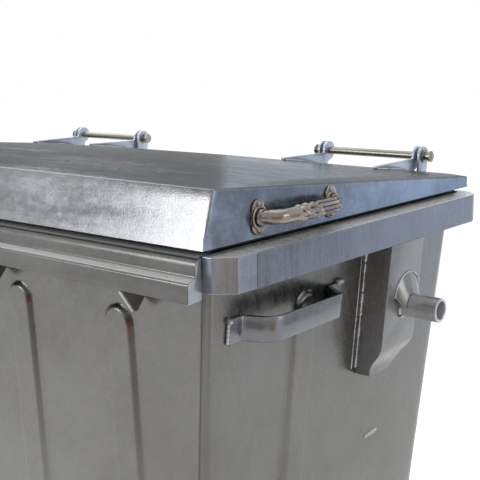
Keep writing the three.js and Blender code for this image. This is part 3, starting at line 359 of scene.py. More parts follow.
def side_wall():
    def place(column, z):
        part, along = column
        x, front, rear = side_face(z), front_face(z) + FRONT_BEND, rear_face(z) - REAR_BEND
        if part == "front":
            edge_dirt = EDGE_DIRT * smooth_step(1 - (along + math.pi / 2) / 0.25)
            return Vector((x - FRONT_BEND + FRONT_BEND * math.cos(along),
                           front + FRONT_BEND * math.sin(along), z)), edge_dirt, 0.0
        if part == "rear":
            return Vector((x - REAR_BEND + REAR_BEND * math.cos(along),
                           rear + REAR_BEND * math.sin(along), z)), 0.0, 0.0
        top_edge = front_face(RIM_TOP) + FRONT_BEND if along < 0 else rear_face(RIM_TOP) - REAR_BEND
        y = narrowed(along, 0.19, top_edge, front if along < 0 else rear)
        point = Vector((x, y, z))
        ends = smooth_step(min(y - front, rear - y) / 0.03)
        lift = rib_rise(y - SIDE_RIB, z) + buckle(point) * ends
        # The side rib gets half as much painted shade.
        return point + X * lift, 0.5 * rib_shade(y - SIDE_RIB, z), 0.0

    quarter = [math.pi / 2 * i / BEND_STEPS for i in range(BEND_STEPS + 1)]
    straight = stations(front_face(RIM_TOP) + FRONT_BEND, rear_face(RIM_TOP) - REAR_BEND,
                        0.0028, 0.03, [SIDE_RIB], RIB_HALF + 0.004)
    columns = [("front", angle - math.pi / 2) for angle in quarter[:-1]]
    columns += [("side", y) for y in straight]
    columns += [("rear", angle) for angle in quarter[1:]]
    return pressed_sheet(columns, wall_rows, place)


pair("body_wall", side_wall(), "body", SIDE_WALL_ZINC, "zinc_sheet", ["wall"], outward=X, sheet=WALL_SHEET)

# ---- Floor pan and chassis -------------------------------------------------------------------
# The flat floor is welded inside the foot of the walls, and two folded channels under it carry
# the castors. They are the same galvanized sheet as the walls.


def node_copy(node):
    """A CAD node's shape with its corners joined and its flat faces made whole."""
    bm = bmesh.new()
    bm.from_mesh(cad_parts[node].data)
    bmesh.ops.remove_doubles(bm, verts=bm.verts, dist=1e-6)
    bmesh.ops.dissolve_limit(bm, angle_limit=math.radians(0.5), verts=bm.verts, edges=bm.edges)
    return bm


def softened(bm, width, steps=2, above=25):
    """Rounds the edges that are sharper than an angle in degrees."""
    sharp = [e for e in bm.edges if len(e.link_faces) == 2 and e.calc_face_angle() > math.radians(above)]
    bmesh.ops.bevel(bm, geom=sharp, offset=width, affect="EDGES", segments=steps, profile=0.5,
                    material=-1, clamp_overlap=True)
    return bm


FLOOR_ZINC = galvanized(
    "floor_zinc", (0.21, 0.205, 0.195), (0.25, 0.25, 0.24), 0.38, streak_length=(0.25, 0.03, 0.03),
    streak=0.12)
piece("floor_sheet", softened(node_copy("floor_pan"), 0.0006), "body", FLOOR_ZINC, "zinc_sheet",
      ["floor_pan"])
for end in ("front", "rear"):
    node = f"chassis_channel_{end}"
    piece(f"channel_{end}", softened(node_copy(node), 0.0012), "body", FLOOR_ZINC, "zinc_sheet", [node])

# ---- Rim -------------------------------------------------------------------------------------
# An angle of 3 mm sheet runs along each side and round the rear corner, with a straight one
# across the back and a folded corner piece at the front. They are welded to the walls.
SIDE_X = 0.625
RIM_FRONT = -0.370
RIM_REAR = 0.365
RIM_SHEET = 0.003
RIM_BEND = 0.0035
RIM_CORNER = 0.056
REAR_FLANGE = 0.0173
RIM_ZINC = galvanized(
    "rim_zinc", (0.148, 0.162, 0.196), (0.184, 0.202, 0.244), 0.30,
    streak_length=(0.010, 0.010, 0.09), streak=0.11, cloud=0.20, flecks=0.4, wave=0.10)


def painted_top_light(material, colour):
    """Paints the faces that look up a light grey and makes them less metallic: painted light falling on them
    from above.
    """
    mask = facing(material, "Z", 0.78, 0.93)
    laid_over(material, mask, colour, "MIX")
    shader = material.node_tree.nodes["Principled BSDF"]
    metal = shader.inputs["Metallic"].default_value
    dull = graded(material.node_tree, mask, 0.0, 1.0, metal, 0.12)
    material.node_tree.links.new(dull, shader.inputs["Metallic"])


painted_top_light(RIM_ZINC, (0.60, 0.60, 0.61))


def rounded(points, radius, steps=4):
    """A line of points in a plane with its inner corners turned to arcs."""
    line = [Vector(points[0])]
    for before, corner, after in zip(points, points[1:], points[2:]):
        corner = Vector(corner)
        back, ahead = Vector(before) - corner, Vector(after) - corner
        bend = math.pi - back.angle(ahead)
        reach = min(radius * math.tan(bend / 2), back.length * 0.49, ahead.length * 0.49)
        start, stop = corner + back.normalized() * reach, corner + ahead.normalized() * reach
        for i in range(steps + 1):
            t = i / steps
            line.append(start * (1 - t) ** 2 + corner * 2 * t * (1 - t) + stop * t * t)
    line.append(Vector(points[-1]))
    return line


def filleted(corners, steps=7):
    """A line through corners given as (x, y, radius), each turned to a true arc."""
    line = []
    for i, (x, y, radius) in enumerate(corners):
        corner = Vector((x, y))
        if not radius:
            line.append(corner)
            continue
        back = (Vector(corners[i - 1][:2]) - corner).normalized()
        ahead = (Vector(corners[i + 1][:2]) - corner).normalized()
        half_angle = back.angle(ahead) / 2
        centre = corner + (back + ahead).normalized() * (radius / math.sin(half_angle))
        start = corner + back * (radius / math.tan(half_angle)) - centre
        sweep = math.pi - 2 * half_angle
        if start.x * ahead.y - start.y * ahead.x < 0:
            sweep = -sweep
        line += [centre + Matrix.Rotation(sweep * k / steps, 2) @ start for k in range(steps + 1)]
    return line


def sheet_outline(outer, thickness):
    """The outline of a folded sheet: its outer face, and the same line moved left by the thickness."""
    inner = []
    for i, point in enumerate(outer):
        along = (outer[min(i + 1, len(outer) - 1)] - outer[max(i - 1, 0)]).normalized()
        inner.append(point + Vector((-along.y, along.x)) * thickness)
    return outer + inner[::-1]


def grown_verts(grown):
    """The vertices that an extrusion has added."""
    return [part for part in grown["geom"] if isinstance(part, bmesh.types.BMVert)]


def lofted(sections, closed=False):
    """Extrudes a first ring of points through the other rings, and caps both ends."""
    bm = bmesh.new()
    ring = [bm.verts.new(point) for point in sections[0]]
    edges = [bm.edges.new((ring[i - 1], ring[i])) for i in range(len(ring))]
    first = edges
    for section in sections[1:]:
        fresh = grown_verts(bmesh.ops.extrude_edge_only(bm, edges=edges))
        moved = []
        for old in ring:
            twin = min(fresh, key=lambda v: (v.co - old.co).length_squared)
            fresh.remove(twin)
            moved.append(twin)
        for v, point in zip(moved, section):
            v.co = point
        ring = moved
        edges = [bm.edges.get((ring[i - 1], ring[i])) for i in range(len(ring))]
    if closed:
        bmesh.ops.bridge_loops(bm, edges=first + edges)
    else:
        bmesh.ops.contextual_create(bm, geom=first)
        bmesh.ops.contextual_create(bm, geom=edges)
    return bm


def rim_angle(flange):
    """The outline of the rim's angle, standing at 0 with its flange pointing in."""
    line = rounded([(0, RIM_BOTTOM), (0, RIM_TOP), (-flange, RIM_TOP)], RIM_BEND)
    return sheet_outline(line, RIM_SHEET)


def side_rim():
    """The angle from the front joint along the side and round the rear corner."""
    corner = RIM_CORNER
    start = RIM_FRONT + 0.0615 + WELD_GAP
    flange_side = SIDE_X - side_face(RIM_TOP) - WELD_GAP
    flange_rear = RIM_REAR - rear_face(RIM_TOP) - WELD_GAP
    sections = []
    turns = 14
    places = [(SIDE_X, start + (RIM_REAR - corner - start) * i / 16, 0.0) for i in range(16)]
    places += [(SIDE_X - corner + corner * math.cos(a), RIM_REAR - corner + corner * math.sin(a), a)
               for a in (math.pi / 2 * i / turns for i in range(turns + 1))]
    places.append((side_face(RIM_TOP) - REAR_BEND, RIM_REAR, math.pi / 2))
    for x, y, angle in places:
        out = Vector((math.cos(angle), math.sin(angle), 0))
        flange = flange_side + (flange_rear - flange_side) * smooth_step(angle / (math.pi / 2))
        sway = 0.0004 * noise.noise(Vector((x * 6, y * 6, 0)))
        sections.append([Vector((x, y, 0)) + out * (r + sway) + Z * z for r, z in rim_angle(flange)])
    return lofted(sections)


pair("side_rim", softened(side_rim(), 0.0005, 1, 60), "body", RIM_ZINC, "zinc_rim", ["rim"])


def rear_rim():
    half = side_face(RIM_TOP) - REAR_BEND - WELD_GAP
    return lofted([[Vector((x, RIM_REAR + r, z)) for r, z in rim_angle(REAR_FLANGE)]
                   for x in (-half, -half / 2, 0, half / 2, half)])


piece("rear_rim", softened(rear_rim(), 0.0005, 1, 60), "body", RIM_ZINC, "zinc_rim", ["rim_rear"])
CORNER_ZINC = galvanized(
    "corner_zinc", (0.235, 0.257, 0.308), (0.291, 0.320, 0.385), 0.30,
    streak_length=(0.010, 0.010, 0.09), streak=0.08, cloud=0.10, wave=0.06)
painted_top_light(CORNER_ZINC, (0.60, 0.60, 0.61))
pair("front_corner", softened(node_copy("rim_front_corner_right"), 0.0011, 3, 12), "body", CORNER_ZINC,
     "zinc_rim", ["rim_front_corner"], sharp=12)

# ---- Comb rail -------------------------------------------------------------------------------
# The folded rail across the front, in which a lorry's lifting comb hooks: a shoulder, an upper
# band, a ledge and a lower band of one 3 mm sheet, with plates welded in its ends.
RAIL_HALF = 0.585
RAIL_ZINC = galvanized(
    "rail_zinc", (0.130, 0.128, 0.123), (0.152, 0.150, 0.147), 0.26,
    streak_length=(0.33, 0.02, 0.02), streak=0.10, specks=0.35, wave=0.08)
painted_top_light(RAIL_ZINC, (0.60, 0.60, 0.60))
rail_line = filleted([(-0.3526, 1.250, 0), (-0.3827, 1.250, 0.0128), (-0.3827, 1.2237, 0.004),
                      (-0.397, 1.219, 0.0055), (-0.397, 1.1925, 0)])


def comb_rail():
    outline = sheet_outline(rail_line, 0.003)
    sections = []
    for i in range(41):
        x = -RAIL_HALF + 2 * RAIL_HALF * i / 40
        sway = 0.0005 * noise.noise(Vector((x * 5, 3, 0)))
        sections.append([Vector((x, y + sway * (1.26 - z) * 12, z)) for y, z in outline])
    return lofted(sections)


piece("comb_rail_sheet", softened(comb_rail(), 0.0005, 1, 60), "body", RAIL_ZINC, "zinc_rim", ["comb_rail"])


def flat_plate(outline, thickness, axis, start, edge, steps=2):
    """A plate cut to an outline given in the plane across an axis, with softened edges."""
    first, second = {"X": (Y, Z), "Y": (X, Z), "Z": (X, Y)}[axis]
    along = {"X": X, "Y": Y, "Z": Z}[axis]
    bm = bmesh.new()
    bm.faces.new([bm.verts.new(along * start + first * a + second * b) for a, b in outline])
    grown = bmesh.ops.extrude_face_region(bm, geom=bm.faces[:])
    bmesh.ops.translate(bm, vec=along * thickness, verts=grown_verts(grown))
    return softened(bm, edge, steps, 40) if edge else bm


end_outline = filleted([
    (-0.3705, 1.1935, 0), (-0.3705, 1.2478, 0), (-0.3822, 1.2478, 0.0110), (-0.3822, 1.2235, 0.003),
    (-0.3964, 1.2188, 0.0045), (-0.3964, 1.1915, 0)])
END_ZINC = galvanized("end_zinc", (0.30, 0.325, 0.37), (0.36, 0.39, 0.44), 0.34, streak=0.2, metal=0.55)
pair("comb_end_plate", flat_plate(end_outline, 0.003, "X", RAIL_HALF - 0.0028, 0.0007), "body", END_ZINC,
     "zinc_rim")

# ---- Gussets ---------------------------------------------------------------------------------
# Four pointed plates stand between the rail's lower band and the wall, and stiffen the rail.
GUSSET_ZINC = galvanized(
    "gusset_zinc", (0.19, 0.185, 0.175), (0.23, 0.225, 0.215), 0.34, streak=0.10)
GUSSETS = [-0.460, -0.155, 0.155, 0.460]
GUSSET_SHEET = 0.004
gusset_outline = rounded([
    (-0.3937, 1.2157), (-0.3937, 1.1925), (-0.370, 1.1575), (-0.364, 1.1575), (-0.3494, 1.1745),
    (-0.3507, 1.2157)], 0.003, 3)
for i, x in enumerate(GUSSETS):
    shape = flat_plate(gusset_outline, GUSSET_SHEET, "X", x - GUSSET_SHEET / 2, 0.0006, 1)
    piece(f"gusset_{i + 1}", shape, "body", GUSSET_ZINC, "zinc_rim", [f"comb_gusset_{i + 1}"])

# ---- Trunnions -------------------------------------------------------------------------------
# A welded box of 4 mm sheet under each side rim carries a 40 mm tube, by which a lorry's arms
# lift the container. A half cone over the tube's root stiffens it.
TRUNNION = Vector((0.0, 0.098, 1.093))
BRACKET_ZINC = galvanized(
    "bracket_zinc", (0.202, 0.199, 0.197), (0.240, 0.238, 0.242), 0.30,
    streak_length=(0.03, 0.03, 0.25), streak=0.14, wave=0.08, metal=0.62)
TUBE_ZINC = galvanized(
    "tube_zinc", (0.52, 0.52, 0.53), (0.62, 0.62, 0.63), 0.17,
    streak_length=(0.017, 0.17, 0.17), streak=0.12, spangle=0.03, metal=0.6, wave=0.03)
HOOD_ZINC = galvanized(
    "hood_zinc", (0.195, 0.195, 0.199), (0.238, 0.238, 0.245), 0.22,
    streak_length=(0.05, 0.05, 0.05), streak=0.14, spangle=0.04, wave=0.06)
pair("trunnion_box", softened(node_copy("trunnion_bracket_right"), 0.0026, 4), "body", BRACKET_ZINC,
     "zinc_sheet", ["trunnion_bracket"])


def turned(profile, middle, axis, steps=48):
    """A piece turned on a lathe: (radius, along the axis) pairs spun round the axis."""
    bm = bmesh.new()
    side = axis.orthogonal().normalized()
    points = [bm.verts.new(middle + axis * along + side * radius) for radius, along in profile]
    edges = [bm.edges.new(ends) for ends in zip(points, points[1:])]
    bmesh.ops.spin(bm, geom=points + edges, cent=middle, axis=axis, angle=2 * math.pi, steps=steps,
                   use_merge=True)
    bmesh.ops.remove_doubles(bm, verts=bm.verts, dist=1e-6)
    return bm


tube_profile = [
    (0.0150, 0.5914), (0.0200, 0.5914), (0.0200, 0.6788), (0.0194, 0.6797), (0.0186, 0.6800),
    (0.0158, 0.6800), (0.0152, 0.6796), (0.0150, 0.6790), (0.0150, 0.5914)]
pair("trunnion_pipe", turned(tube_profile, TRUNNION, X, 64), "body", TUBE_ZINC, "bare_steel",
     ["trunnion_tube"])


def bracket_face(z):
    return SIDE_X - SIDE_TAPER * (RIM_BOTTOM - z)


HOOD_BASE = 0.038
HOOD_RISE = 0.018


def half_cone():
    sections = []
    steps = 28
    for i in range(steps + 1):
        angle = math.pi * i / steps

        def at(radius, rise=0.0, x=None):
            z = TRUNNION.z + rise + radius * math.sin(angle)
            x = bracket_face(z) + WELD_GAP if x is None else x
            return Vector((x, TRUNNION.y + radius * math.cos(angle), z))

        tip = SIDE_X + 0.005
        sections.append([at(0.0345, HOOD_RISE), at(HOOD_BASE, HOOD_RISE), at(0.0248, 0.001, tip - 0.001),
                         at(0.0238, 0.0, tip), at(0.0203, 0.0, tip)])
    return lofted(sections)


pair("trunnion_cone", softened(half_cone(), 0.0006, 2, 50), "body", HOOD_ZINC, "bare_steel",
     ["trunnion_hood"])

# ---- Side handles ----------------------------------------------------------------------------
# A flat strap, 37 by 5 mm, bent to a bow on each side wall and welded at both feet.
STRAP_ZINC = galvanized(
    "strap_zinc", (0.148, 0.154, 0.166), (0.178, 0.186, 0.203), 0.26,
    streak_length=(0.12, 0.12, 0.017), streak=0.10, wave=0.06)


STRAP_TOP = RIM_BOTTOM - 0.049
STRAP_HEIGHT = 0.037


def strap():
    top, height, thick = STRAP_TOP, STRAP_HEIGHT, 0.005
    foot = side_face(top) + WELD_GAP + thick
    bow = SIDE_X - 0.003
    line = filleted([(foot, -0.308, 0), (foot, -0.280, 0.008), (bow, -0.265, 0.030),
                     (bow, -0.100, 0.014), (foot, -0.070, 0.008), (foot, -0.040, 0)])
    edge = 0.0013
    sections = []
    for i, point in enumerate(line):
        along = (line[min(i + 1, len(line) - 1)] - line[max(i - 1, 0)]).normalized()
        inward = Vector((-along.y, along.x))
        ring = []
        for depth, z in ((edge, 0), (0, -edge), (0, -height / 2), (0, edge - height), (edge, -height),
                         (thick - edge, -height), (thick, edge - height), (thick, -edge), (thick - edge, 0)):
            spot = point + inward * depth
            ring.append(Vector((spot.x + SIDE_TAPER * z, spot.y, top + z)))
        sections.append(ring)
    return lofted(sections)


pair("strap_handle", strap(), "body", STRAP_ZINC, "zinc_sheet", ["side_handle"], sharp=50)

# ---- Lid -------------------------------------------------------------------------------------
# A shallow pan of 2 mm sheet, deep at the front and shallow at the back, with a slightly crowned
# top and folded skirts whose corners are welded and ground.
LID_BOTTOM = RIM_TOP + 0.0096
LID_HALF = 0.5985
LID_FRONT_EDGE = -0.361
LID_FRONT_FOOT = -0.383
LID_REAR = 0.3474
LID_DEEP = 0.0747
LID_SHALLOW = 0.0194
LID_CROWN = 0.016
LID_EDGE_SWELL = 0.0035
LID_ZINC = galvanized(
    "lid_zinc", (0.175, 0.180, 0.190), (0.232, 0.239, 0.254), 0.20, streak_turn=(0, 0, 0.06),
    streak_length=(0.30, 0.035, 0.04), streak=0.40, spangle=0.10, grain=0.22, cloud=0.24, specks=0.15,
    flecks=0.3, wave=0.15, graze=0.35)
# The side skirts, whose faces point along X, are tinted blue: a painted bluish reflection.
laid_over(LID_ZINC, facing(LID_ZINC, "X", 0.80, 0.95), (1.08, 1.24, 1.52))


def lid_top(x, y):
    t = (y - LID_FRONT_EDGE) / (LID_REAR - LID_FRONT_EDGE)
    plane = LID_BOTTOM + LID_DEEP + (LID_SHALLOW - LID_DEEP) * t
    inside = min(LID_HALF - abs(x), LID_REAR - y)
    swell = LID_EDGE_SWELL * smooth_step(inside / 0.030) * smooth_step(t / 0.4)
    return plane + swell + LID_CROWN * (1 - min(abs(x) / LID_HALF, 1) ** 2) * max(4 * t * (1 - t), 0)


def lid_pan():
    bm = bmesh.new()
    bmesh.ops.create_grid(bm, x_segments=120, y_segments=72, size=0.5)
    for v in bm.verts:
        x = v.co.x * 2 * LID_HALF
        y = LID_FRONT_EDGE + (v.co.y + 0.5) * (LID_REAR - LID_FRONT_EDGE)
        inside = min(LID_HALF - abs(x), y - LID_FRONT_EDGE, LID_REAR - y)
        ripple = 0.0009 * noise.noise(Vector((x * 4, y * 4, 0))) * smooth_step(inside / 0.08)
        v.co = Vector((x, y, lid_top(x, y) + ripple))
    folds = [e for e in bm.edges if e.is_boundary]
    edges = folds
    for step in range(1, 5):
        grown = bmesh.ops.extrude_edge_only(bm, edges=edges)
        for v in grown_verts(grown):
            share = 1 / (5 - step)
            lean = (LID_FRONT_FOOT - LID_FRONT_EDGE) * 0.25
            reach = (LID_REAR - v.co.y) / (LID_REAR - LID_FRONT_EDGE)
            v.co.y += lean * min(reach, 1.0)
            v.co.z += (LID_BOTTOM - v.co.z) * share
        edges = [part for part in grown["geom"] if isinstance(part, bmesh.types.BMEdge) and part.is_boundary]
    corners = [e for e in bm.edges if not e.is_boundary and e not in folds
               and len(e.link_faces) == 2 and e.calc_face_angle() > math.radians(60)]
    bmesh.ops.bevel(bm, geom=list(set(folds + corners)), offset=0.0028, affect="EDGES", segments=3,
                    profile=0.5, material=-1, clamp_overlap=True)
    return bm


piece("lid_sheet", lid_pan(), "lid", LID_ZINC, "zinc_lid", ["lid_pan"], sheet=0.002, outward=Z, sharp=40)

# ---- Lid seal --------------------------------------------------------------------------------
# A strip of black rubber is glued inside the skirts and lies on the rim when the lid is shut.


def moulded(name, tone, rough, grain_scale=500.0, grain_depth=0.25):
    """Rubber or plastic with a dusty bloom and a fine moulded grain."""
    material, tree, shader, coords = new_material(name)
    dust = noisy(tree, coords, 14.0, 6.0, Roughness=0.65)
    grain = noisy(tree, coords, grain_scale, 2.0)
    dusty = [c * 1.5 + 0.012 for c in tone]
    tree.links.new(mixed(tree, graded(tree, dust, 0.35, 0.75), tone, dusty), shader.inputs["Base Color"])
    tree.links.new(graded(tree, dust, 0.3, 0.7, rough - 0.08, rough + 0.08), shader.inputs["Roughness"])
    bumped(tree, shader, grain, grain_depth, 0.0005)
    return material


SEAL_RUBBER = moulded("seal_rubber", (0.020, 0.020, 0.021), 0.75)
seal = softened(node_copy("lid_seal"), 0.003, 3)
bmesh.ops.scale(seal, vec=(0.975, 0.965, 1), verts=seal.verts)
piece("seal_strip", seal, "lid", SEAL_RUBBER, "rubber_seal", ["lid_seal"])

# ---- Hinges ----------------------------------------------------------------------------------
# Two pairs of tapered arms are welded on the lid. Each pair hangs on a rod through two upright
# plates, which are joined by a web on the rear rim.
PIN = Vector((0, 0.375, 1.307))
EAR = 0.0185
HINGE_ARMS = (0.276, 0.480)
ARM_LENGTH = 0.160
ARM_SHEET = 0.006
PLATE_SHEET = 0.005
ARM_ZINC = galvanized(
    "arm_zinc", (0.36, 0.40, 0.47), (0.48, 0.53, 0.61), 0.32, streak_length=(0.03, 0.17, 0.03), streak=0.16,
    metal=0.7)
ROD_ZINC = galvanized(
    "rod_zinc", (0.24, 0.232, 0.195), (0.32, 0.315, 0.28), 0.30,
    streak_length=(0.12, 0.017, 0.017), streak=0.14, spangle=0.02, metal=0.9)


def ear(start, stop, steps):
    """Points on the round end of an arm or plate, from one angle in degrees down to another."""
    angles = (math.radians(start + (stop - start) * i / steps) for i in range(steps + 1))
    return [(PIN.y + EAR * math.cos(a), PIN.z + EAR * math.sin(a)) for a in angles]


def arm(x):
    tip = PIN.y - ARM_LENGTH
    crest = []
    for i in range(9):
        y = tip + (LID_REAR - tip) * i / 8
        crest.append((y, lid_top(x, y) + 0.0004))
    outline = [(tip, lid_top(x, tip) + 0.005), (PIN.y - EAR - 0.004, PIN.z - 0.004)] + ear(186, -62, 30)
    outline += [(LID_REAR + 0.0004, lid_top(x, LID_REAR) - 0.004)] + crest[::-1]
    return flat_plate(outline, ARM_SHEET, "X", x - ARM_SHEET / 2, 0.0009, 2)


for i, x in enumerate(HINGE_ARMS):
    pair(f"hinge_arm_{i + 1}", arm(x), "lid", ARM_ZINC, "zinc_lid", [f"lid_arm_{i + 1}"])


def merged(bm, *others):
    """Adds other meshes to a mesh, which then is one piece."""
    for other in others:
        added = bpy.data.meshes.new("added")
        other.to_mesh(added)
        bm.from_mesh(added)
        other.free()
        bpy.data.meshes.remove(added)
    return bm


def hinge_plates():
    foot = RIM_REAR + WELD_GAP
    back = foot + PLATE_SHEET
    outline = [(foot, RIM_BOTTOM), (foot, RIM_TOP + WELD_GAP), (PIN.y - 0.0195, RIM_TOP + 0.006)]
    outline += ear(180, -30, 26) + [(PIN.y + 0.005, RIM_TOP), (back, RIM_BOTTOM)]
    web = [(foot, RIM_BOTTOM), (back, RIM_BOTTOM), (back, RIM_TOP - 0.005), (foot, RIM_TOP - 0.005)]
    return merged(flat_plate(outline, PLATE_SHEET, "X", 0.2615, 0.0009, 2),
                  flat_plate(outline, PLATE_SHEET, "X", 0.4895, 0.0009, 2),
                  flat_plate(web, 0.2230, "X", 0.2665, 0.0008, 2))


pair("hinge_plates", hinge_plates(), "body", ARM_ZINC, "zinc_rim", ["hinge_bracket"])

ROD = 0.0076
WASHER = 0.0125
ROD_HEAD = 0.0105
rod_profile = [(0.0, 0.2442), (0.0070, 0.2442), (ROD_HEAD, 0.2462), (ROD_HEAD, 0.2492), (ROD, 0.2492)]
for start in (0.2578, 0.4950):
    stop = start + 0.0032
    rod_profile += [(ROD, start), (WASHER - 0.0005, start), (WASHER, start + 0.0006),
                    (WASHER, stop - 0.0006), (WASHER - 0.0005, stop), (ROD, stop)]
rod_profile += [(ROD, 0.5068), (ROD_HEAD, 0.5068), (ROD_HEAD, 0.5098), (0.0070, 0.5118), (0.0, 0.5118)]
pair("hinge_rod", turned(rod_profile, PIN, X, 32), "body", ROD_ZINC, "bare_steel", ["hinge_pin"])

# ---- Lid handles -----------------------------------------------------------------------------
# A cast bow handle, nickel plated, is screwed on each side skirt of the lid: two roses with two
# lobes each, and a bar that is smooth at one end, leafy in the middle and fluted at the other.
PULL_Z = RIM_TOP + 0.038
PULL_ENDS = (RIM_FRONT + 0.0956, RIM_FRONT + 0.2656)
PULL_FACE = LID_HALF + WELD_GAP


def plated(name, tone, rough):
    """Nickel plate over a cast surface: bright and slightly uneven, with painted shade darkening its
    hollows.
    """
    material, tree, shader, coords = new_material(name)
    cast = noisy(tree, coords, 120.0, 4.0, Roughness=0.6)
    tarnish = noisy(tree, coords, 35.0, 5.0)
    dull = [c * 0.66 for c in tone]
    tree.links.new(mixed(tree, graded(tree, tarnish, 0.4, 0.7), tone, dull), shader.inputs["Base Color"])
    hollows = add_node(tree, "ShaderNodeNewGeometry").outputs["Pointiness"]
    # Painted shade: the hollows, found by their pointiness, are darkened.
    laid_over(material, graded(tree, hollows, 0.505, 0.46), (0.12, 0.09, 0.075))
    tree.links.new(graded(tree, tarnish, 0.3, 0.7, rough - 0.04, rough + 0.08), shader.inputs["Roughness"])
    bumped(tree, shader, cast, 0.12, 0.0008)
    shader.inputs["Metallic"].default_value = 1.0
    return material


NICKEL = plated("nickel", (0.26, 0.228, 0.205), 0.08)


def rose(y):
    """One two-lobed foot of the handle with its collar and its two screws."""
    lobe, spread = 0.0135, 0.0105
    outline = []
    for middle, start in ((spread, 0), (-spread, 180)):
        outline += [(y + lobe * math.cos(math.radians(start + a)) * 1.02,
                     PULL_Z + middle + lobe * math.sin(math.radians(start + a))) for a in range(-8, 189, 14)]
    bm = flat_plate(outline, 0.0030, "X", PULL_FACE, 0.0012, 3)
    middle = Vector((PULL_FACE, y, PULL_Z))
    rings = [(0.0, 0.0), (0.0158, 0.0), (0.0165, 0.0030), (0.0158, 0.0052), (0.0135, 0.0060),
             (0.0118, 0.0056), (0.0110, 0.0070), (0.0116, 0.0086), (0.0104, 0.0100), (0.0, 0.0104)]
    merged(bm, turned(rings, middle, X, 40))
    screw = [(0.0, 0.0026), (0.0046, 0.0026), (0.0046, 0.0036), (0.0034, 0.0050), (0.0016, 0.0055),
             (0.0, 0.0055)]
    for side in (-1, 1):
        merged(bm, turned(screw, middle + Z * side * 0.0172, X, 20))
    return bm


def pull_bar():
    """The bowed bar; its surface is worked out from the place along it and the angle round it."""
    y0, y1 = PULL_ENDS
    bow = 0.0195
    line = []
    steps = 64
    for i in range(steps + 1):
        t = i / steps
        near_end = min(t, 1 - t) / 0.16
        reach = bow * (1 - (1 - near_end) ** 2 if near_end < 1 else 1.0)
        swell = 0.0018 * math.sin(math.pi * t)
        line.append(Vector((PULL_FACE + 0.004 + reach + swell, y0 + (y1 - y0) * (0.02 + 0.96 * t), PULL_Z)))
    sections = []
    for i, point in enumerate(line):
        t = i / steps
        along = (line[min(i + 1, steps)] - line[max(i - 1, 0)]).normalized()
        side = along.cross(Z).normalized()
        ring = []
        count = 48
        for k in range(count):
            a = 2 * math.pi * k / count
            radius = 0.0096 + 0.0007 * math.sin(math.pi * t)
            flute = smooth_step((t - 0.55) / 0.08) * smooth_step((0.97 - t) / 0.04)
            radius += flute * 0.0013 * math.cos(9 * a)
            leaf = smooth_step((t - 0.26) / 0.08) * smooth_step((0.66 - t) / 0.10)
            vein = math.cos(5 * a + 16 * (t - 0.45)) * math.cos(2 * a - 30 * t)
            radius += leaf * (0.0019 * vein + 0.0004)
            for ring_at in (0.055, 0.10, 0.93):
                radius += 0.0010 * math.exp(-((t - ring_at) / 0.010) ** 2)
            ring.append(point + side * (radius * math.cos(a)) + Z * (radius * math.sin(a)))
        sections.append(ring)
    return lofted(sections)


pair("bow_handle", merged(pull_bar(), rose(PULL_ENDS[0]), rose(PULL_ENDS[1])), "lid", NICKEL, "plated_pull",
     ["lid_pull"], sharp=45)

# ---- Weld beads ------------------------------------------------------------------------------
# The sheets and brackets are joined by hand-laid beads, which the zinc has rounded over.
WELD_ZINC = galvanized(
    "weld_zinc", (0.40, 0.40, 0.41), (0.52, 0.52, 0.53), 0.28, streak_length=(0.011, 0.011, 0.011),
    streak=0.3, spangle=0.0, wave=0.3, metal=0.6)
lumps = random.Random(7)


def bead(points, radius, pitch=0.006, flat=1.0):
    """A rippled bead along a line of points, thicker where the weld paused."""
    line = [Vector(p) for p in points]
    spots = []
    for start, stop in zip(line, line[1:]):
        count = max(1, round((stop - start).length / (pitch / 2)))
        spots += [start.lerp(stop, i / count) for i in range(count)]
    spots.append(line[-1])
    sections = []
    size = 1.0
    for i, spot in enumerate(spots):
        along = (spots[min(i + 1, len(spots) - 1)] - spots[max(i - 1, 0)]).normalized()
        side = along.orthogonal().normalized()
        other = along.cross(side)
        if i % 6 == 0:
            size = lumps.uniform(0.55, 1.35)
        swell = radius * size * (1.12 if i % 2 else 0.86)
        if i in (0, len(spots) - 1):
            swell *= 0.4
        turns = [math.pi * k / 4 for k in range(8)]
        sections.append([spot + side * swell * math.cos(a) + other * swell * math.sin(a) * flat
                         for a in turns])
    return lofted(sections)


def on_side(y, z, proud=0.001):
    return Vector((side_face(z) + proud, y, z))


def on_bracket(radius, turn, rise=0.0, proud=0.0006):
    z = TRUNNION.z + rise + radius * math.sin(turn)
    return Vector((bracket_face(z) + proud, TRUNNION.y + radius * math.cos(turn), z))


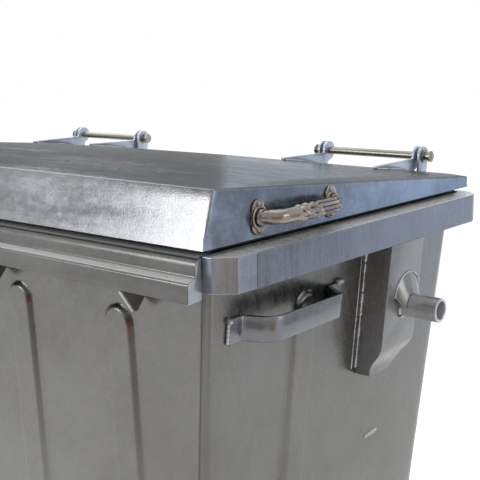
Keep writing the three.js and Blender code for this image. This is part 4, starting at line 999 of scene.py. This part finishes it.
bracket_front, bracket_rear = RIM_FRONT + 0.404, RIM_FRONT + 0.508
right_beads = []
for high, low, radius in (
        (1.197, 1.170, 0.0044), (1.170, 1.120, 0.0024), (1.120, 1.080, 0.0040), (1.080, 0.990, 0.0027)):
    right_beads.append(bead([on_side(bracket_front - 0.001, z) for z in (high, low)], radius))
right_beads += [
    bead([on_side(bracket_front - 0.012, z, 0.0) for z in (1.190, 1.08, 0.99)], 0.0010, 0.010),
    bead([on_side(bracket_rear + 0.001, z) for z in (1.197, 1.12, 1.040)], 0.0032, 0.007),
    bead([on_side(-0.3085, STRAP_TOP - d, 0.0022) for d in (0.0, STRAP_HEIGHT)], 0.0026),
    bead([on_side(-0.3080, STRAP_TOP - d, 0.0035) for d in (-0.002, 0.008)], 0.0052, 0.004),
    bead([on_side(-0.0395, STRAP_TOP - d, 0.0022) for d in (0.0, STRAP_HEIGHT)], 0.0026),
    bead([on_side(y, STRAP_TOP + 0.0005, 0.0040) for y in (-0.052, -0.034)], 0.0042, 0.005),
    bead([on_side(y, 0.8465 + (y - 0.088) * 0.12, 0.0004) for y in (0.088, 0.126)], 0.0022, 0.005, 2.2),
    bead([on_bracket(HOOD_BASE + 0.0004, math.pi * i / 24, HOOD_RISE) for i in range(25)], 0.0014),
    bead([on_bracket(0.0212, math.pi * (1 + i / 16), 0.0, 0.0012) for i in range(17)], 0.0022),
]
for x in (0.2615, 0.4945):
    right_beads.append(bead([Vector((x, RIM_REAR + 0.0055, z)) for z in (1.204, 1.246)], 0.0020))
# The beads along the gussets' sloped front edges are a painted highlight: light strips standing in for the
# light on those free edges.
for x in GUSSETS[2:]:
    right_beads.append(bead([Vector((x, -0.3945, 1.191)), Vector((x, -0.3705, 1.157))], 0.0022, 0.005))
pair("weld_beads", merged(*right_beads), "body", WELD_ZINC, "zinc_sheet", sharp=60)

lid_beads = []
for x in HINGE_ARMS:
    for side in (-0.0034, 0.0034):
        line = [Vector((x + side, y, lid_top(x, y) + 0.0008)) for y in (0.222, 0.25, 0.28, 0.31, 0.338)]
        lid_beads.append(bead(line, 0.0017))
pair("lid_weld_beads", merged(*lid_beads), "lid", WELD_ZINC, "zinc_lid", sharp=60)

# ---- Castors ---------------------------------------------------------------------------------
# Four swivel castors with 200 mm rubber wheels: a bolted plate, a ball race, a pressed fork, an
# axle bolt, a moulded hub and a tyre. The two at the front have a brake pedal.
FORK_ZINC = galvanized(
    "fork_zinc", (0.30, 0.30, 0.30), (0.37, 0.37, 0.375), 0.28,
    streak_length=(0.05, 0.05, 0.05), streak=0.10, spangle=0.02)
HUB_PLASTIC = moulded("hub_plastic", (0.085, 0.088, 0.092), 0.55)
TYRE_RUBBER = moulded("tyre_rubber", (0.030, 0.030, 0.031), 0.80, 300.0, 0.4)
CASTOR_X = 0.385
CASTOR_Y = 0.190
AXLE_Z = 0.100
TRAIL = 0.055
PEDAL_HALF = 0.0327
WHEEL_CENTRE = Vector((TRAIL, 0, AXLE_Z))


def hexagon(middle, axis, across, height):
    """A bolt head or nut with chamfered corners, standing on middle along axis."""
    bm = bmesh.new()
    radius = across / math.sqrt(3)
    bmesh.ops.create_cone(bm, cap_ends=True, segments=6, radius1=radius, radius2=radius,
                          depth=height, matrix=Matrix.Translation((0, 0, height / 2)))
    top = [e for e in bm.edges if all(v.co.z > height / 2 for v in e.verts)]
    bmesh.ops.bevel(bm, geom=top, offset=height * 0.18, affect="EDGES", segments=2, profile=0.5,
                    material=-1)
    turn = Z.rotation_difference(axis).to_matrix().to_4x4()
    bmesh.ops.transform(bm, matrix=Matrix.Translation(middle) @ turn, verts=bm.verts)
    return bm


def both_sides(profile):
    """Half a wheel's profile, up to its middle plane, made whole and closed."""
    whole = profile + [(r, -y) for r, y in profile[-2::-1]]
    return whole + [whole[0]]


def tyre():
    half = 0.025
    profile = [(0.0742, -half + 0.003), (0.0800, -half), (0.0860, -half), (0.0885, -half + 0.0012),
               (0.0900, -half), (0.0950, -half + 0.0016), (0.0980, -half + 0.0046),
               (0.0993, -half + 0.0095), (0.0998, -0.0090), (0.0972, -0.0082), (0.0972, -0.0066),
               (0.0999, -0.0058), (0.1000, 0.0)]
    return turned(both_sides(profile), WHEEL_CENTRE, Y, 72)


def hub():
    profile = [(0.0085, -0.029), (0.0185, -0.029), (0.0200, -0.0275), (0.0205, -0.0178), (0.0225, -0.0165),
               (0.0600, -0.0165), (0.0625, -0.0180), (0.0640, -0.0210), (0.0660, -0.0220), (0.0728, -0.0220),
               (0.0737, -0.0210), (0.0737, 0.0)]
    bm = turned(both_sides(profile), WHEEL_CENTRE, Y, 64)
    rib_outline = [(0.0195, -0.0265), (0.0640, -0.0205), (0.0640, 0.0205), (0.0195, 0.0265)]
    for k in range(8):
        rib = flat_plate(rib_outline, 0.004, "Z", -0.002, 0.0006, 1)
        turn = Matrix.Translation(WHEEL_CENTRE) @ Matrix.Rotation(math.pi * k / 4, 4, "Y")
        bmesh.ops.transform(rib, matrix=turn, verts=rib.verts)
        merged(bm, rib)
    return bm


def race():
    """The two pressed cups of the swivel head, with the ball gap between them."""
    profile = [(0.0, 0.2075), (0.0400, 0.2075), (0.0410, 0.2090), (0.0410, 0.2150), (0.0385, 0.2168),
               (0.0365, 0.2190), (0.0385, 0.2210), (0.0405, 0.2230), (0.0405, 0.2285), (0.0390, 0.2296),
               (0.0, 0.2296)]
    return turned(profile, Vector((0, 0, 0)), Z, 56)


def axle_bolt():
    washer = [(0.0, 0.0383), (0.0125, 0.0383), (0.0130, 0.0388), (0.0130, 0.0404), (0.0125, 0.0409),
              (0.0, 0.0409)]
    rod = [(0.0, -0.040), (0.0079, -0.040), (0.0079, 0.040), (0.0, 0.040)]
    other_washer = [(r, -a) for r, a in washer]
    bm = merged(turned(rod, WHEEL_CENTRE, Y, 24), turned(washer, WHEEL_CENTRE, Y, 32),
                turned(other_washer, WHEEL_CENTRE, Y, 32))
    for outward in (Y, -Y):
        merged(bm, hexagon(WHEEL_CENTRE + outward * 0.0407, outward, 0.019, 0.0052))
    return bm


def castor_top_plate():
    x, y, r = 0.069, 0.055, 0.010
    outline = []
    for sx, sy, start in ((1, 1, 0), (-1, 1, 90), (-1, -1, 180), (1, -1, 270)):
        for a in (math.radians(start + turn) for turn in (0, 22.5, 45, 67.5, 90)):
            outline.append((sx * (x - r) + r * math.cos(a), sy * (y - r) + r * math.sin(a)))
    bm = flat_plate(outline, 0.005, "Z", 0.230, 0.0008, 2)
    for sx in (-1, 1):
        for sy in (-1, 1):
            merged(bm, hexagon(Vector((sx * 0.054, sy * 0.041, 0.2302)), -Z, 0.013, 0.0066))
    return bm


def pedal():
    """The foot plate with three pressed ridges, on its barrel and pin."""
    angle = math.radians(50)
    pivot = Vector((TRAIL + 0.114 * math.cos(angle), 0, AXLE_Z + 0.114 * math.sin(angle)))
    half = PEDAL_HALF
    plan = rounded([(0.0, -half), (0.062, -half), (0.062, half), (0.0, half)], 0.010, 6)
    bm = flat_plate([(pivot.x + a, b) for a, b in plan], 0.005, "Z", pivot.z + 0.0025, 0.0014, 3)
    for step in range(3):
        ridge = rounded([(-0.022, -0.0016), (0.022, -0.0016), (0.022, 0.0016), (-0.022, 0.0016),
                         (-0.022, -0.0016)], 0.0012, 3)
        outline = [(pivot.x + 0.026 + 0.012 * step + b, a) for a, b in ridge[:-1]]
        merged(bm, flat_plate(outline, 0.0018, "Z", pivot.z + 0.0070, 0.0007, 2))
    barrel = [(0.0, -half), (0.0074, -half), (0.0080, -0.0320), (0.0080, 0.0320), (0.0074, half),
              (0.0, half)]
    pin = [(0.0, -0.0379), (0.0036, -0.0379), (0.0040, -0.0374), (0.0040, 0.0374), (0.0036, 0.0379),
           (0.0, 0.0379)]
    return merged(bm, turned(barrel, pivot, Y, 32), turned(pin, pivot, Y, 24))


for end, sign in (("front", -1), ("rear", 1)):
    for side, x in (("right", CASTOR_X), ("left", -CASTOR_X)):
        tag = f"{end}_{side}"
        turn = Matrix.Rotation(sign * math.pi / 2, 4, "Z")
        place = Matrix.Translation((x, sign * CASTOR_Y, 0)) @ turn

        def placed(bm):
            bmesh.ops.transform(bm, matrix=place, verts=bm.verts)
            return bm

        fork_shape = softened(node_copy(f"castor_fork_{tag}"), 0.0012, 2)
        castor, wheel = f"castor_{tag}", f"wheel_{tag}"
        for name, shape, body, finish, slot, node in (
                ("fork", merged(fork_shape, placed(race())), castor, FORK_ZINC, "bare_steel", "fork"),
                ("axle_bolt", placed(axle_bolt()), castor, FORK_ZINC, "bare_steel", "axle"),
                ("castor_bolts", placed(castor_top_plate()), "body", FORK_ZINC, "bare_steel", "plate"),
                ("hub", placed(hub()), wheel, HUB_PLASTIC, "hub_plastic", "hub"),
                ("tyre", placed(tyre()), wheel, TYRE_RUBBER, "tyre", "tyre")):
            piece(f"{name}_{tag}", shape, body, finish, slot, [f"castor_{node}_{tag}"])
        if end == "front":
            piece(f"pedal_{side}", placed(pedal()), f"pedal_{side}", FORK_ZINC, "bare_steel",
                  [f"brake_pedal_{side}"])

# ---- Studio ----------------------------------------------------------------------------------
# A pale floor, soft lamps and a white surround; the camera stands where the photograph's did.
scene = bpy.context.scene
scene.view_settings.view_transform = "Standard"


def seen_directly(tree):
    """1 for what the camera sees, straight, in metal or through glass; 0 for the light it gives."""
    rays = add_node(tree, "ShaderNodeLightPath")
    direct = rays.outputs["Is Camera Ray"]
    for kind in ("Is Glossy Ray", "Is Transmission Ray"):
        either = add_node(tree, "ShaderNodeMath", {0: direct, 1: rays.outputs[kind]}, operation="MAXIMUM")
        direct = either.outputs[0]
    return direct


world = bpy.data.worlds.new("surround")
scene.world = world
world.use_nodes = True
sky = world.node_tree
for made in list(sky.nodes):
    sky.nodes.remove(made)
strength = graded(sky, seen_directly(sky), 0.0, 1.0, 0.62, 1.0)
surround = add_node(sky, "ShaderNodeBackground", {"Color": (1, 1, 1, 1), "Strength": strength})
add_node(sky, "ShaderNodeOutputWorld", {"Surface": surround.outputs[0]})


def glowing(name, base, rough, glow):
    """A dull studio paint that gives light of its own, and its shader."""
    made = bpy.data.materials.new(name)
    made.use_nodes = True
    shader = made.node_tree.nodes["Principled BSDF"]
    shader.inputs["Base Color"].default_value = (base, base, base, 1)
    shader.inputs["Roughness"].default_value = rough
    shader.inputs["Emission Color"].default_value = (*glow, 1)
    return made, shader


floor_paint, floor_shader = glowing("floor_paint", 0.86, 0.9, (1, 1, 1))
paint = floor_paint.node_tree
paint.links.new(graded(paint, seen_directly(paint), 0.0, 1.0, 0.0, 0.47),
                floor_shader.inputs["Emission Strength"])
ground = bmesh.new()
bmesh.ops.create_grid(ground, x_segments=1, y_segments=1, size=30)
new_object("studio_floor", ground, floor_paint)


def lamp(name, at, aim, size, power):
    light = bpy.data.lights.new(name, "AREA")
    light.shape = "RECTANGLE"
    light.size, light.size_y = size
    light.energy = power
    made = bpy.data.objects.new(name, light)
    made.location = at
    made.rotation_mode = "QUATERNION"
    made.rotation_quaternion = (Vector(at) - Vector(aim)).to_track_quat("Z", "Y")
    scene.collection.objects.link(made)


lamp("key_lamp", (-1.12, -2.65, 2.05), (0.5, -0.37, 1.30), (1.1, 0.9), 20)
lamp("sky_lamp", (-1.75, 0.55, 2.95), (0.1, -0.3, 1.2), (2.4, 2.2), 30)
lamp("top_lamp", (0.6, 0.6, 3.6), (0, 0, 1.2), (2.4, 1.6), 14)
lamp("side_lamp", (3.6, 0.8, 2.2), (0.6, 0.1, 1.0), (1.4, 1.4), 12)


def screen(name, at, aim, width, height, colour):
    """A studio screen that only shows in the metal, where the real one mirrors its surroundings."""
    sheet = bmesh.new()
    bmesh.ops.create_grid(sheet, x_segments=1, y_segments=1, size=0.5)
    bmesh.ops.scale(sheet, vec=(width, height, 1), verts=sheet.verts)
    upright = (Vector(aim) - Vector(at)).to_track_quat("Z", "Y").to_matrix().to_4x4()
    bmesh.ops.transform(sheet, matrix=Matrix.Translation(at) @ upright, verts=sheet.verts)
    cloth, shader = glowing(name, 0, 1.0, colour)
    shader.inputs["Specular IOR Level"].default_value = 0.0
    shader.inputs["Emission Strength"].default_value = 1.0
    made = new_object(name, sheet, cloth)
    made.visible_camera = False
    made.visible_diffuse = False
    made.visible_shadow = False


screen("back_screen_left", (-2.75, 1.9, 1.2), (0.2, 0, 1.2), 2.4, 2.6, (0.40, 0.405, 0.42))
screen("back_screen_right", (-1.3, 3.1, 1.2), (0.2, 0, 1.2), 1.5, 2.6, (0.86, 0.94, 1.06))
screen("front_screen", (1.1, -2.9, 0.8), (1.1, 0, 0.8), 2.6, 1.6, (0.50, 0.45, 0.40))
screen("side_screen", (2.45, -1.5, 0.8), (0, -1.5, 0.8), 2.0, 1.6, (0.70, 0.55, 0.41))
screen("right_screen", (3.1, 0.15, 0.7), (0.6, 0, 0.7), 0.9, 1.4, (1.40, 1.45, 1.55))
screen("blue_screen", (1.85, 2.62, 0.8), (0.6, -0.1, 0.8), 0.7, 1.6, (1.30, 1.48, 1.72))
screen("grey_screen", (2.5, 2.15, 0.8), (0.6, -0.1, 0.8), 1.0, 1.6, (0.66, 0.66, 0.68))

camera = bpy.data.cameras.new("photo_camera")
camera.sensor_width = 36.0
camera.lens = 68.95
camera.clip_start = 0.05
camera.clip_end = 60.0
camera_object = bpy.data.objects.new("photo_camera", camera)
scene.collection.objects.link(camera_object)
azimuth, elevation, roll = (math.radians(a) for a in (39.3, 11.04, 0.51))
ahead = Vector((-math.sin(azimuth) * math.cos(elevation), math.cos(azimuth) * math.cos(elevation),
                -math.sin(elevation)))
level = Vector((math.cos(azimuth), math.sin(azimuth), 0))
down = ahead.cross(level)
camera_right = level * math.cos(roll) + down * math.sin(roll)
camera_down = down * math.cos(roll) - level * math.sin(roll)
turn = Matrix((camera_right, -camera_down, -ahead)).transposed().to_4x4()
camera_object.matrix_world = Matrix.Translation((1.33408, -1.20914, 1.48962)) @ turn
scene.camera = camera_object
